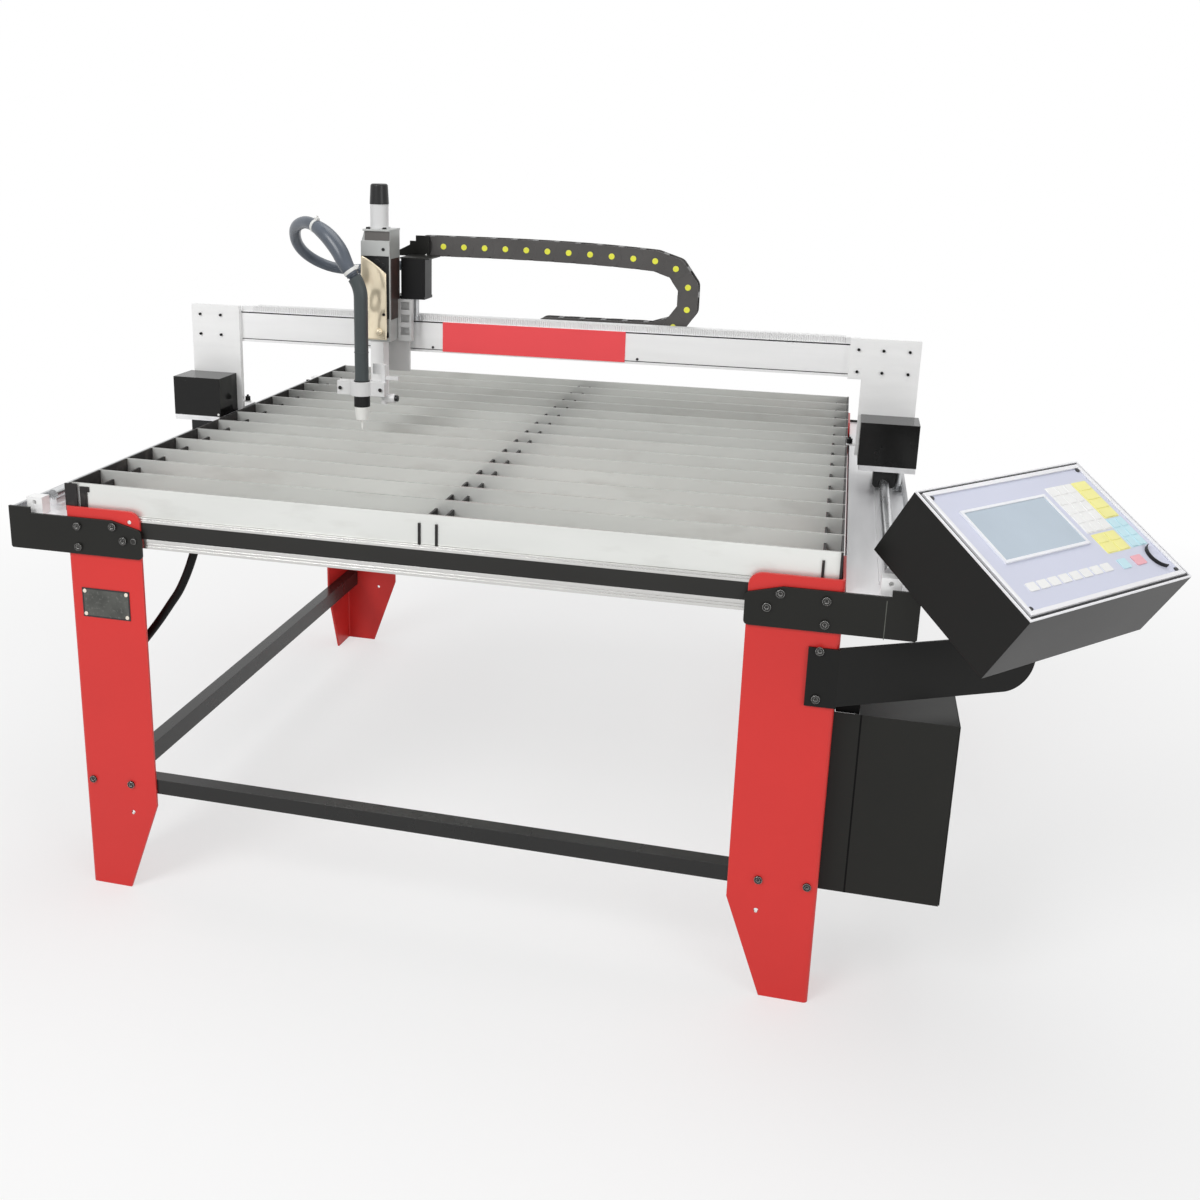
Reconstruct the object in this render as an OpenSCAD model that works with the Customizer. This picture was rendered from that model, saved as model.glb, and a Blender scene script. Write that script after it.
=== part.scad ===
// Gantry cutting table: slatted bed on sheet legs, gantry on round rails,
// carriage with a motor lifter that holds a torch, and an operator panel on an arm.
// Built in a table frame: X to the right, Y to the back, Z up from the floor,
// X zero midway between the legs and Y zero on the front faces of the legs.

/* [Legs] */
// Width over the legs
table_w = 1400; // [1300:10:1600]
// Depth over the legs
table_d = 1385; // [1300:5:1600]
// Height of a leg
leg_h = 781; // [750:1:820]
// Width of each leg flange
leg_flange = 152; // [140:1:170]
// Width of a flange at the floor
foot_w = 85; // [60:1:110]
// Height at which the foot starts to taper
taper_h = 187; // [120:1:200]
// Sheet thickness of the legs
leg_sheet = 5; // [3:0.5:6]
// Outer radius of the leg fold
fold_r = 8; // [7:0.5:12]
// Radius of the upper inner corners of the legs
leg_corner_r = 22; // [10:1:40]

/* [Frame] */
// Height of the cross beams
beam_h = 58; // [50:1:66]
// Thickness of the cross beams
beam_t = 30; // [26:1:34]
// Step from the leg tops down to the beam tops
beam_drop = 11; // [8:1:16]
// Height of the dark strip in a cross beam
strip_h = 31; // [24:1:36]
// Distance from the beam tops down to the dark strip
strip_drop = 9; // [8:1:12]
// Thickness of the dark strip
strip_t = 3; // [2:0.5:4]
// Side of the square front tie bar
tie = 30; // [25:1:40]
// Height of the middle of the front tie bar
tie_z = 228; // [210:1:260]
// Height of the side tie bars
side_tie_h = 40; // [30:1:50]
// Wall of the tie bars
tie_wall = 2.5; // [2:0.5:4]
// Thickness of the corner brackets
bracket_t = 5; // [4:0.5:8]
// Height of the corner brackets
bracket_h = 70; // [60:1:80]
// Reach of the corner brackets across the legs
bracket_in = 156; // [140:1:180]
// Extra height of the tab that covers the rack
tab_h = 11; // [5:1:20]
// Width of the tab that covers the rack
tab_w = 44; // [30:1:60]

/* [Side rails] */
// Width of the rail profiles
profile_w = 115; // [110:1:130]
// Height of the rail profiles
profile_h = 65; // [50:1:80]
// Step from the leg tops down to the rail profiles
profile_drop = 24; // [12:1:40]
// Gap between a leg and a rail profile
profile_gap = 1; // [0.5:0.5:3]
// Diameter of the rail shafts
shaft_d = 20; // [16:1:22]
// Height of the shaft axis above the profile
shaft_lift = 21; // [20:1:26]
// Distance from the leg side to the shaft axis
shaft_out = 70; // [66:1:74]
// Distance from the profile ends to the shaft ends
shaft_inset = 70; // [50:5:100]
// Width of the shaft support foot
support_w = 34; // [28:1:38]
// Neck of the shaft support
neck_w = 9; // [7:1:11]

/* [Drive] */
// Gear module
gear_m = 1.5; // [1.25:0.25:1.5]
// Teeth on a pinion
teeth = 12; // [11:1:13]
// Backlash at the pitch line
backlash = 0.4; // [0.3:0.1:0.6]
// Height of the racks
rack_h = 13; // [10:1:14]
// Body of a rack behind its teeth
rack_back = 5; // [4:0.5:6]
// Distance from the shaft axis to the pinion axis
pinion_out = 30; // [29:0.5:32]
// Side of the square motors
motor_w = 56; // [42:1:57]
// Height of the motors
motor_h = 76; // [60:1:80]
// Diameter of the pinion hubs
hub_d = 12; // [10:1:13]

/* [Bed] */
// Number of slats
slat_count = 15; // [12:1:20]
// Slat thickness
slat_t = 4; // [3:0.5:6]
// Slat height
slat_h = 100; // [90:1:105]
// Height of the slat tops above the leg tops
slat_rise = 43; // [35:1:55]
// Distance from the leg faces to the first slat
slat_inset = 13; // [12:1:20]
// Depth of the comb slots
comb_depth = 44; // [30:1:60]
// Thickness of the comb plates and bars
comb_t = 4; // [3:0.5:6]
// Height of the comb bars
comb_bar_h = 60; // [50:1:70]
// Depth of the slat tops above the comb bars
comb_cover = 16; // [12:1:30]
// Distance between the two middle comb bars
comb_pair = 31; // [20:1:60]
// Distance from the comb plates to the outer comb bars
comb_side = 26; // [20:1:60]

/* [Gantry] */
// Distance from the leg faces to the gantry plates
gantry_y = 743; // [740:1:760]
// Thickness of the gantry plates
plate_t = 12; // [10:1:16]
// Height of the tops of the gantry plates above the slats
plate_rise = 239; // [234:1:256]
// Height of the underside of the gantry beam above the slats
beam_rise = 156; // [146:1:166]
// Height of the gantry beam
gantry_h = 70; // [64:1:74]
// Depth of the gantry beam
gantry_d = 45; // [44:1:50]
// Thickness of the base plates
base_t = 11; // [8:1:14]
// Length of the base plates
base_l = 190; // [180:5:220]
// Height of the underside of the base plates above the shaft axis
base_lift = 27; // [25:1:32]
// Reach of the motor covers in front of the gantry plates
cover_d = 88; // [80:1:100]
// Height of the motor covers
cover_h = 89; // [86:1:100]
// Sheet thickness of the motor covers
cover_wall = 1.5; // [1:0.5:2]
// Width of the bearing blocks
block_w = 45; // [40:1:46]
// Length of the bearing blocks
block_l = 46; // [40:1:55]
// Running clearance of round guides
run_gap = 0.3; // [0.2:0.05:0.5]
// Length of the red board on the beam
board_w = 415; // [300:5:500]
// Height of the red board on the beam
board_h = 66; // [50:1:68]

/* [Carriage] */
// Place of the lifter across the table
lift_x = -333; // [-400:1:300]
// Width of the lifter
lift_w = 66; // [60:1:72]
// Depth of the lifter
lift_d = 66; // [64:1:80]
// Height of the lifter above the underside of the gantry beam
lift_rise = 32; // [20:1:35]
// Height of the lifter frame
lift_h = 186; // [175:1:200]
// Height of the motor block on the lifter
head_h = 57; // [50:1:70]
// Diameter of the lifter motor
lift_motor_d = 40; // [30:1:44]
// Height of the lifter motor
lift_motor_h = 52; // [40:1:70]
// Height of the cap on the lifter motor
cap_h = 43; // [36:1:60]
// Reach of the front carriage plate below the lifter
front_drop = 74; // [50:1:80]
// Thickness of the carriage plates
car_t = 8; // [6:1:10]
// Width of the carriage
car_w = 92; // [90:1:110]
// Width of the cross rail
xrail_w = 15; // [12:1:16]
// Height of the cross rail
xrail_h = 12; // [10:1:14]
// Height of the carriage plate above the beam
car_lift = 43; // [40:1:48]
// Height of the cross motor
xmotor_h = 82; // [70:1:90]
// Thickness of the flange under the cross motor
flange_t = 6; // [4:1:8]
// Length of a rail block
xblock_l = 40; // [30:1:42]
// Diameter of the lifter screw
screw_d = 8; // [6:1:10]
// Diameter of the lifter guide rods
guide_d = 8; // [6:1:10]

/* [Torch] */
// Diameter of the torch tube
torch_d = 30; // [26:1:32]
// Diameter of the torch head
head_d = 35; // [33:1:38]
// Radius of the bend on top of the torch tube
boot_r = 73; // [60:1:90]
// Turn of the bend on top of the torch tube, in degrees
boot_turn = 36; // [20:1:45]
// Distance from the gantry plates forward to the torch axis
torch_reach = 158; // [155:1:165]
// Offset of the torch from the middle of the lifter
torch_dx = -5; // [-10:1:10]
// Height of the torch tip above the slats
tip_gap = 6; // [6:1:20]
// Length of the torch tip
tip_l = 22; // [12:1:25]
// Length of the cup
cup_l = 29; // [20:1:40]
// Diameter of the cup mouth
cup_d = 27; // [18:1:30]
// Length of the torch head
head_l = 57; // [56:1:70]
// Length of the torch tube above the head
tube_l = 177; // [160:1:200]
// Height of the torch clamp
clamp_h = 30; // [18:1:30]
// Half width of the torch clamp
clamp_half = 54; // [48:1:60]

/* [Drag chain] */
// Pitch of the chain links
link_pitch = 48; // [46:1:55]
// Height of a link
link_h = 44; // [36:1:48]
// Width of the chain
chain_w = 40; // [34:1:46]
// Thickness of a link side
link_t = 3; // [2:0.5:4]
// Links in the bend
bend_links = 5; // [4:1:7]
// Links in the upper run
upper_links = 11; // [8:1:13]
// Links in the lower run
lower_links = 5; // [3:1:8]
// Place of the middle of the bend across the table
bend_x = 257; // [200:1:300]
// Rise of the upper run where it leaves the bend, in degrees
chain_rise = 4.2; // [0:0.1:6]

/* [Control panel] */
// Width of the control housing
ctl_w = 400; // [360:5:440]
// Length of the sloping panel
ctl_h = 264; // [240:2:300]
// Depth of the control housing
ctl_d = 130; // [100:2:140]
// Turn of the panel from the table front, in degrees
ctl_yaw = 47; // [40:1:55]
// Slope of the panel from level, in degrees
ctl_slope = 31.5; // [25:0.5:45]
// Place of the lower left panel corner outwards from the leg side
ctl_out = 253; // [250:1:290]
// Place of the lower left panel corner in front of the legs
ctl_fwd = 164; // [160:1:200]
// Height of the lower panel edge above the floor
ctl_z = 799; // [780:1:830]
// Sheet thickness of the control housing
ctl_wall = 2; // [1:0.5:3]
// Width of the panel frame
rim_w = 9; // [6:1:12]
// Height of the panel frame
rim_t = 5; // [3:0.5:8]
// Height of the arm plate
arm_h = 101; // [80:1:110]
// Height of the lower edge of the arm above the floor
arm_z = 566; // [550:1:580]
// Thickness of the arm plate
arm_t = 5; // [4:0.5:6]
// Turn of the arm from the table front, in degrees
arm_turn = 28; // [20:1:32]
// Length of the turned part of the arm
arm_l = 362; // [350:1:380]

/* [Cabinet] */
// Width of the cabinet
cab_w = 157; // [140:1:180]
// Depth of the cabinet
cab_d = 250; // [200:5:280]
// Height of the cabinet
cab_h = 333; // [300:1:340]
// Height of the cabinet above the floor
cab_z = 204; // [150:1:210]
// Distance from the leg faces to the cabinet front
cab_y = 40; // [20:1:60]
// Gap between the leg side and the cabinet
cab_gap = 45; // [40:1:60]
// Sheet thickness of the cabinet
cab_t = 2; // [1.5:0.5:3]

/* [Fasteners] */
// Diameter of the bolt heads
bolt_d = 14; // [10:1:16]
// Height of the bolt heads
bolt_h = 4; // [3:0.5:6]
// Diameter of the small screw heads
screw_head_d = 6; // [5:0.5:8]

/* [Hidden] */
$fn = 48;
fit = 0.3;

// Table levels
leg_x = table_w / 2;
beam_top = leg_h - beam_drop;
slat_top = leg_h + slat_rise;
profile_z = leg_h - profile_drop;
slat_end = leg_x - leg_sheet - 2;
beam_len = table_w - 2 * fold_r;
strip_z = beam_top - strip_drop - strip_h;
beam_in = leg_sheet + beam_t;
profile_x0 = leg_x + profile_gap;
profile_x1 = profile_x0 + profile_w;
shaft_x = leg_x + shaft_out;
shaft_z = profile_z + shaft_lift;
side_tie_top = tie_z - tie / 2 - 2;

// Gears
pitch = PI * gear_m;
pitch_r = gear_m * teeth / 2;
pressure = 20;
pinion_add = 0.9 * gear_m;
rack_add = 0.65 * gear_m;
root_gap = 0.25 * gear_m;
pinion_tip_r = pitch_r + pinion_add;
pinion_x = shaft_x + pinion_out;
rack_line = pinion_x + pitch_r;
rack_depth = pinion_add + root_gap;
gear_z = profile_z + 1.5;
gear_w = rack_h - 2;

// Gantry levels
plate_top = slat_top + plate_rise;
beam_z = slat_top + beam_rise;
base_z = shaft_z + base_lift;
base_top = base_z + base_t;
base_y0 = gantry_y - cover_d;
motor_y = gantry_y - 43;
cover_x1 = pinion_x + motor_w / 2 + 0.5 + cover_wall;
cover_x0 = leg_x + 14;
plate_x1 = cover_x1 - 8;
plate_x0 = leg_x + 8;
wide_x0 = plate_x0 - 28;
plate_left_x0 = leg_x + 1;
beam_y = gantry_y + plate_t;
beam_back = beam_y + gantry_d;
gantry_top = beam_z + gantry_h;
beam_end = plate_x1 - 2;
block_low = shaft_z - 8;
block_y = [base_y0 + 8 + block_l / 2, base_y0 + base_l - 8 - block_l / 2];

// Cross drive on top of the beam
xrack_tip = beam_y + 2;
xpinion_y = xrack_tip - pitch_r + rack_add;
xrail_y = beam_back - 6 - xrail_w;
car_z = gantry_top + car_lift;
car_top = car_z + car_t;
car_x0 = lift_x - lift_w / 2 - 4;
car_x1 = car_x0 + car_w;
xmotor_x = lift_x + lift_w / 2 + 4 + motor_w / 2;
front_y1 = min(gantry_y - 7, xpinion_y - pinion_tip_r - 1);
front_y0 = front_y1 - car_t;
xblock_side = 8;
xblock_top = gantry_top + 30;
xblock_x = [car_x0 + 3, car_x1 - 3 - xblock_l];
xmotor_z = car_top + flange_t;
shelf_z = xmotor_z + xmotor_h;

// Lifter and torch
lift_z = beam_z + lift_rise;
lift_y1 = front_y0;
lift_y0 = lift_y1 - lift_d;
lift_top = lift_z + lift_h;
head_top = lift_top + head_h;
side_t = 4;
floor_t = 8;
screw_y = lift_y1 - 17;
guide_y = lift_y0 + 28;
guide_dx = lift_w / 2 - side_t - 8;
bar_w = 30;
bar_y0 = lift_y0 + 6;
bar_y1 = screw_y - screw_d / 2 - 4;
torch_x = lift_x + torch_dx;
torch_y = gantry_y - torch_reach;
tip_z = slat_top + tip_gap;
cup_z = tip_z + tip_l;
head_z = cup_z + cup_l;
tube_z = head_z + head_l;
tube_top = tube_z + tube_l;
clamp_z = head_z + 25;
slide_low = clamp_z - 18;

// Drag chain
bend_r = link_pitch / 2 / sin(90 / bend_links);
chain_y = beam_back + 5;
chain_low_z = gantry_top - 7;
tray_z = chain_low_z - link_h / 2 - fit;
function run_angle(i) = chain_rise * pow(1 - i / (upper_links - 1), 2);
// Place of the pivot after i links of the upper run, from the top of the bend
function run_at(i) = i == 0 ? [0, 0, 2 * bend_r]
  : run_at(i - 1) + link_pitch * [-cos(run_angle(i - 1)), 0, sin(run_angle(i - 1))];
upper_end_x = bend_x + run_at(upper_links)[0];
upper_end_z = chain_low_z + run_at(upper_links)[2];
lower_end_x = bend_x - lower_links * link_pitch;

// Control housing and arm
ctl_x = leg_x + ctl_out;
ctl_tilt = 90 - ctl_slope;
arm_x = leg_x + 2;
cab_x0 = leg_x + cab_gap;
cab_x1 = cab_x0 + cab_w;

// Bottom centre of the whole object in the table frame
x_low = -cover_x1;
x_high = ctl_x + ctl_w * cos(ctl_yaw) + rim_t * sin(ctl_yaw) * cos(ctl_tilt);
y_low = -ctl_fwd - rim_t * cos(ctl_yaw) * cos(ctl_tilt);
y_high = table_d + bracket_t + bolt_h;
origin = [(x_low + x_high) / 2, (y_low + y_high) / 2, 0];

// Route of the torch hose from the bend on the torch to the chain bracket, as offsets from the torch top
hose_d = 22;
hose_from = [torch_x, torch_y, tube_top];
hose_path = [for (p = [
  [-14, 0, 43.5], [-32, 0, 68], [-51, 6, 99], [-79, 15, 127], [-112, 31, 145], [-145, 55, 151],
  [-176, 83, 143], [-197, 113, 126], [-207, 146, 99], [-201, 176, 74], [-180, 203, 53], [-150, 222, 40],
  [-114, 232, 36], [-75, 233, 40], [-37, 228, 45], [0, 225, 50], [33, 225, 50]
]) hose_from + p];
// Route of the hanging cable from the gland behind the front beam to the clip on the left leg,
// as offsets from the upper rear corner of the beam at that leg
cable_d = 16;
cable_from = [-leg_x, beam_in, beam_top];
cable_path = [for (p = [
  [239, 14, -29], [239, 14, -46], [234, 14, -66], [227, 15, -85], [218, 17, -106], [207, 19, -129],
  [192, 21, -156], [172, 23, -184], [145, 26, -221], [117, 29, -256], [95, 33, -281], [71, 36, -299],
  [46, 38, -308], [19, 38, -308]
]) cable_from + p];

// Helpers

module place() {
  translate(-origin) children();
}

module block(x0, x1, y0, y1, z0, z1) {
  translate([x0, y0, z0]) cube([x1 - x0, y1 - y0, z1 - z0]);
}

module both_sides() {
  children();
  mirror([1, 0, 0]) children();
}

module front_and_rear() {
  children();
  translate([0, table_d, 0]) mirror([0, 1, 0]) children();
}

// Extrudes a profile drawn in Y and Z along X
module along_x(x0, x1) {
  translate([x0, 0, 0]) rotate([90, 0, 90]) linear_extrude(x1 - x0) children();
}

// Extrudes a profile drawn in X and Z along Y
module along_y(y0, y1) {
  translate([0, y1, 0]) rotate([90, 0, 0]) linear_extrude(y1 - y0) children();
}

module rect(x0, x1, y0, y1) {
  translate([x0, y0]) square([x1 - x0, y1 - y0]);
}

// Socket head facing the front, seated at y
module bolt_front(x, y, z, d = bolt_d) {
  translate([x, y, z]) rotate([90, 0, 0]) difference() {
    cylinder(d = d, h = bolt_h);
    translate([0, 0, bolt_h / 2]) cylinder(d = d / 2, h = bolt_h, $fn = 6);
  }
}

function involute(r, base) = let (t = sqrt(max(0, pow(r / base, 2) - 1))) t * 180 / PI - atan(t);
function polar(r, a) = [r * cos(a), r * sin(a)];

module pinion_2d() {
  base = pitch_r * cos(pressure);
  root = pitch_r - rack_add - root_gap;
  half = (pitch / 2 - backlash / 2) / 2 / pitch_r * 180 / PI + involute(pitch_r, base);
  radii = [for (k = [0:4]) base + (pinion_tip_r - base) * k / 4];
  polygon([
    for (i = [0:teeth - 1]) let (mid = i * 360 / teeth) each concat(
      [polar(root, mid - half)],
      [for (r = radii) polar(r, mid - half + involute(r, base))],
      [for (k = [4:-1:0]) polar(radii[k], mid + half - involute(radii[k], base))],
      [polar(root, mid + half)]
    )
  ]);
}

// Rack outline along X with the teeth towards +Y, the pitch line on Y zero and a gap at X zero
module rack_2d(x0, x1) {
  half = (pitch / 2 - backlash / 2) / 2;
  tip = half - rack_add * tan(pressure);
  root = half + rack_depth * tan(pressure);
  first = ceil((x0 + root) / pitch - 0.5);
  last = floor((x1 - root) / pitch - 0.5);
  polygon(concat(
    [[x0, -rack_depth - rack_back], [x0, -rack_depth]],
    [for (k = [first:last]) let (m = (k + 0.5) * pitch) each [
      [m - root, -rack_depth], [m - tip, rack_add], [m + tip, rack_add], [m + root, -rack_depth]
    ]],
    [[x1, -rack_depth], [x1, -rack_depth - rack_back]]
  ));
}

// Round tube swept along a route
function unit(v) = v / norm(v);
function tangent(p, i) = unit(p[min(i + 1, len(p) - 1)] - p[max(i - 1, 0)]);
function side_of(t) = unit(cross(t, abs(t[2]) < 0.9 ? [0, 0, 1] : [0, 1, 0]));
function carried(p, i, s) = let (t = tangent(p, i)) unit(s - (s * t) * t);
function sides_along(p, i = 0, s = undef) =
  let (here = i == 0 ? side_of(tangent(p, 0)) : carried(p, i, s))
  i == len(p) - 1 ? [here] : concat([here], sides_along(p, i + 1, here));

module tube(path, d, sides) {
  around = sides_along(path);
  rings = [
    for (i = [0:len(path) - 1]) let (u = around[i], v = cross(tangent(path, i), around[i]))
      for (k = [0:sides - 1]) path[i] + d / 2 * (cos(k * 360 / sides) * u + sin(k * 360 / sides) * v)
  ];
  last = (len(path) - 1) * sides;
  polyhedron(rings, concat(
    [[for (k = [0:sides - 1]) k]],
    [for (i = [0:len(path) - 2], k = [0:sides - 1]) let (a = i * sides, n = (k + 1) % sides)
      [a + k, a + sides + k, a + sides + n, a + n]],
    [[for (k = [sides - 1:-1:0]) last + k]]
  ));
}

// Legs

module leg_outline() {
  polygon([
    [0, 0], [foot_w, 0], [leg_flange, taper_h], [leg_flange, leg_h - leg_corner_r],
    [leg_flange - leg_corner_r, leg_h], [0, leg_h]
  ]);
  translate([leg_flange - leg_corner_r, leg_h - leg_corner_r]) circle(leg_corner_r);
}

module leg_fold() {
  rect(fold_r, leg_flange, 0, leg_sheet);
  rect(0, leg_sheet, fold_r, leg_flange);
  translate([fold_r, fold_r]) intersection() {
    difference() {
      circle(fold_r);
      circle(fold_r - leg_sheet);
    }
    translate([-fold_r, -fold_r]) square(fold_r);
  }
}

// Folded leg with its outer corner on the origin
module leg() {
  color("firebrick") difference() {
    intersection() {
      linear_extrude(leg_h) leg_fold();
      along_y(-1, leg_flange + 1) leg_outline();
      along_x(-1, leg_flange + 1) leg_outline();
    }
    translate([100, -1, tie_z - 60]) rotate([-90, 0, 0]) cylinder(d = 8, h = leg_sheet + 2);
  }
}

module leg_front_left() place() translate([-leg_x, 0, 0]) leg();
module leg_front_right() place() translate([leg_x, 0, 0]) mirror([1, 0, 0]) leg();
module leg_rear_left() place() translate([-leg_x, table_d, 0]) mirror([0, 1, 0]) leg();
module leg_rear_right() place() translate([leg_x, table_d, 0]) mirror([0, 1, 0]) mirror([1, 0, 0]) leg();

// Frame

module cross_beam_2d() {
  y0 = leg_sheet;
  y1 = beam_in;
  z0 = beam_top - beam_h;
  wall = 2.5;
  difference() {
    rect(y0, y1, z0, beam_top);
    rect(y0 - 1, y0 + strip_t, strip_z, strip_z + strip_h);
    rect(y0 - 1, y0 + 1.5, beam_top - 4, beam_top - 2);
    for (z = [z0 + 5, z0 + 10]) rect(y0 - 1, y0 + 1.5, z, z + 2);
    rect(y0 + strip_t + wall, y1 - wall, strip_z, strip_z + strip_h);
  }
}

module cross_beams() place() color("silver") {
  front_and_rear() along_x(-beam_len / 2, beam_len / 2) cross_beam_2d();
}

module beam_strips() place() color([0.1, 0.1, 0.1]) {
  front_and_rear() along_x(-beam_len / 2, beam_len / 2)
    rect(leg_sheet, leg_sheet + strip_t, strip_z, strip_z + strip_h);
}

module hollow_bar(size) {
  difference() {
    square(size, center = true);
    square(size - 2 * [tie_wall, tie_wall], center = true);
  }
}

module tie_bars() place() color([0.12, 0.12, 0.12]) {
  along_x(-beam_len / 2, beam_len / 2) translate([leg_sheet + tie / 2, tie_z]) hollow_bar([tie, tie]);
  both_sides() along_y(fold_r, table_d - fold_r)
    translate([leg_x - leg_sheet - tie / 2, side_tie_top - side_tie_h / 2]) hollow_bar([tie, side_tie_h]);
}

module bracket_2d() {
  x0 = leg_x - bracket_in;
  z1 = profile_z + 5;
  z0 = z1 - bracket_h;
  r = 8;
  polygon([
    [x0 + r, z0], [profile_x1 - 3, z0], [profile_x1, z0 + 3], [profile_x1, z1 + tab_h],
    [profile_x1 - tab_w, z1 + tab_h], [profile_x1 - tab_w, z1], [x0 + 60, z1], [x0 + r, z1 - 13],
    [x0, z1 - 13 - r], [x0, z0 + r]
  ]);
  for (z = [z0 + r, z1 - 13 - r]) translate([x0 + r, z]) circle(r);
}

module corner_brackets() place() color([0.13, 0.13, 0.12]) {
  front_and_rear() both_sides() along_y(-bracket_t, 0) bracket_2d();
}

module side_profile_2d() {
  z0 = profile_z - profile_h;
  wall = 4;
  mid = (profile_x0 + profile_x1) / 2;
  slot = 8;
  difference() {
    rect(profile_x0, profile_x1, z0, profile_z);
    rect(profile_x0 + wall, mid - wall / 2, z0 + wall, profile_z - wall);
    rect(mid + wall / 2, profile_x1 - 14, z0 + wall, profile_z - wall);
    for (z = [z0 + profile_h / 4, z0 + profile_h * 3 / 4]) {
      rect(profile_x1 - 3, profile_x1 + 1, z - slot / 2, z + slot / 2);
      rect(profile_x1 - 9, profile_x1 - 3, z - slot, z + slot);
    }
  }
}

module side_profiles() place() color("gainsboro") {
  both_sides() along_y(0, table_d) side_profile_2d();
}

module rail_support_2d() {
  top = shaft_z - shaft_d / 2 + 2.5;
  difference() {
    union() {
      translate([shaft_x, 0]) rect(-support_w / 2, support_w / 2, profile_z, profile_z + 5);
      polygon([
        [shaft_x - neck_w, profile_z + 5], [shaft_x + neck_w, profile_z + 5],
        [shaft_x + neck_w / 2, top], [shaft_x - neck_w / 2, top]
      ]);
    }
    translate([shaft_x, shaft_z]) circle(d = shaft_d);
  }
}

module rail_supports() place() color("silver") {
  both_sides() along_y(shaft_inset, table_d - shaft_inset) rail_support_2d();
}

module rail_shafts() place() color("dimgray") {
  both_sides() along_y(shaft_inset, table_d - shaft_inset) translate([shaft_x, shaft_z]) circle(d = shaft_d);
}

module racks() place() color("lightgray") {
  both_sides() translate([rack_line, motor_y, profile_z]) rotate([0, 0, 90]) linear_extrude(rack_h)
    rack_2d(4 - motor_y, table_d - 4 - motor_y);
}

module end_stops() place() color("whitesmoke") {
  half = 16;
  front = 10;
  length = 24;
  bumper_z = 22;
  front_and_rear() both_sides() translate([shaft_x, front, profile_z]) {
    difference() {
      block(-half, half, 0, length, 0, 2 * half);
      translate([0, -1, bumper_z]) rotate([-90, 0, 0]) cylinder(d = half / 2, h = length / 2);
    }
    translate([0, length, bumper_z]) rotate([-90, 0, 0]) cylinder(d1 = half, d2 = half * 0.8, h = length / 2);
  }
}

// Bed

slat_pitch = (table_d - 2 * slat_inset) / (slat_count - 1);
comb_x = slat_end - comb_t;
outer_bar_x = comb_x - comb_side;
bar_places = [-outer_bar_x, -comb_pair / 2, comb_pair / 2, outer_bar_x];
bar_top = slat_top - comb_cover;

// Slat with slots from below for the comb plates and bars
module slat_2d(low) {
  difference() {
    rect(-slat_end, slat_end, low, slat_top);
    for (s = [-1, 1]) translate([s * slat_end, 0]) {
      rect(-comb_t - fit, comb_t + fit, low - 1, slat_top - comb_depth + fit);
    }
    for (x = bar_places) rect(x - comb_t / 2 - fit, x + comb_t / 2 + fit, low - 1, bar_top);
  }
}

// The first and the last slat stand on the cross beams
module bed_slats() place() color("darkgray") {
  for (i = [0:slat_count - 1]) {
    y = slat_inset + i * slat_pitch;
    over_beam = min(y, table_d - y) < beam_in + slat_t;
    along_y(y - slat_t / 2, y + slat_t / 2) slat_2d(over_beam ? beam_top + fit : slat_top - slat_h);
  }
}

module comb_plate_2d() {
  end = leg_sheet + 2;
  rect(beam_in, table_d - beam_in, beam_top - beam_h, beam_top + 1);
  difference() {
    rect(end, table_d - end, beam_top, slat_top);
    for (i = [0:slat_count - 1]) {
      y = slat_inset + i * slat_pitch;
      rect(y - slat_t / 2 - fit, y + slat_t / 2 + fit, slat_top - comb_depth, slat_top + 1);
    }
  }
}

module comb_plates() place() color([0.14, 0.13, 0.14]) {
  both_sides() along_x(slat_end - comb_t, slat_end) comb_plate_2d();
}

// Bars that hang on the cross beams and show in front of the first slat
module comb_bars() place() color([0.14, 0.13, 0.14]) {
  end = leg_sheet + 3;
  for (x = bar_places) along_x(x - comb_t / 2, x + comb_t / 2) {
    rect(beam_in, table_d - beam_in, bar_top - comb_bar_h, bar_top);
    rect(end, table_d - end, beam_top, bar_top);
  }
}

module leg_plate() place() color("darkslategray") {
  block(-leg_x + 24, -leg_x + 122, -1, 0, leg_h - 213, leg_h - 156);
  for (x = [30, 116], z = [207, 162]) {
    translate([-leg_x + x, -1, leg_h - z]) rotate([90, 0, 0]) cylinder(d = 5, h = 1);
  }
}

module table_bolts() place() color("silver") {
  front_and_rear() both_sides() {
    for (p = [[27, 11], [27, 51], [100, 6], [120, 31]]) {
      bolt_front(leg_x - p[0], -bracket_t, profile_z - p[1]);
    }
  }
  both_sides() for (x = [18, 100]) bolt_front(leg_x - x, 0, tie_z);
  for (z = [arm_z + 10, arm_z + arm_h - 7]) bolt_front(leg_x - 31, -arm_t, z);
}

// Control panel

module at_panel() {
  translate([ctl_x, -ctl_fwd, ctl_z]) rotate([0, 0, ctl_yaw]) rotate([-ctl_tilt, 0, 0]) children();
}

// Depth of the arm line below the housing back, worked out at a distance along the arm
function panel_axis_n() = [sin(ctl_yaw) * cos(ctl_tilt), -cos(ctl_yaw) * cos(ctl_tilt), sin(ctl_tilt)];
function arm_point(s) = [arm_x + s * cos(arm_turn), -arm_t + s * sin(arm_turn)];
function back_height(p) = let (n = panel_axis_n(), c = [ctl_x, -ctl_fwd, ctl_z] - ctl_d * n)
  c[2] - (n[0] * (p[0] - c[0]) + n[1] * (p[1] - c[1])) / n[2];

mount_w = 120;
mount_h = 100;
mount_t = 5;
post_w = 60;
post_s = arm_l - 70;
arm_r = 55;

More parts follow.
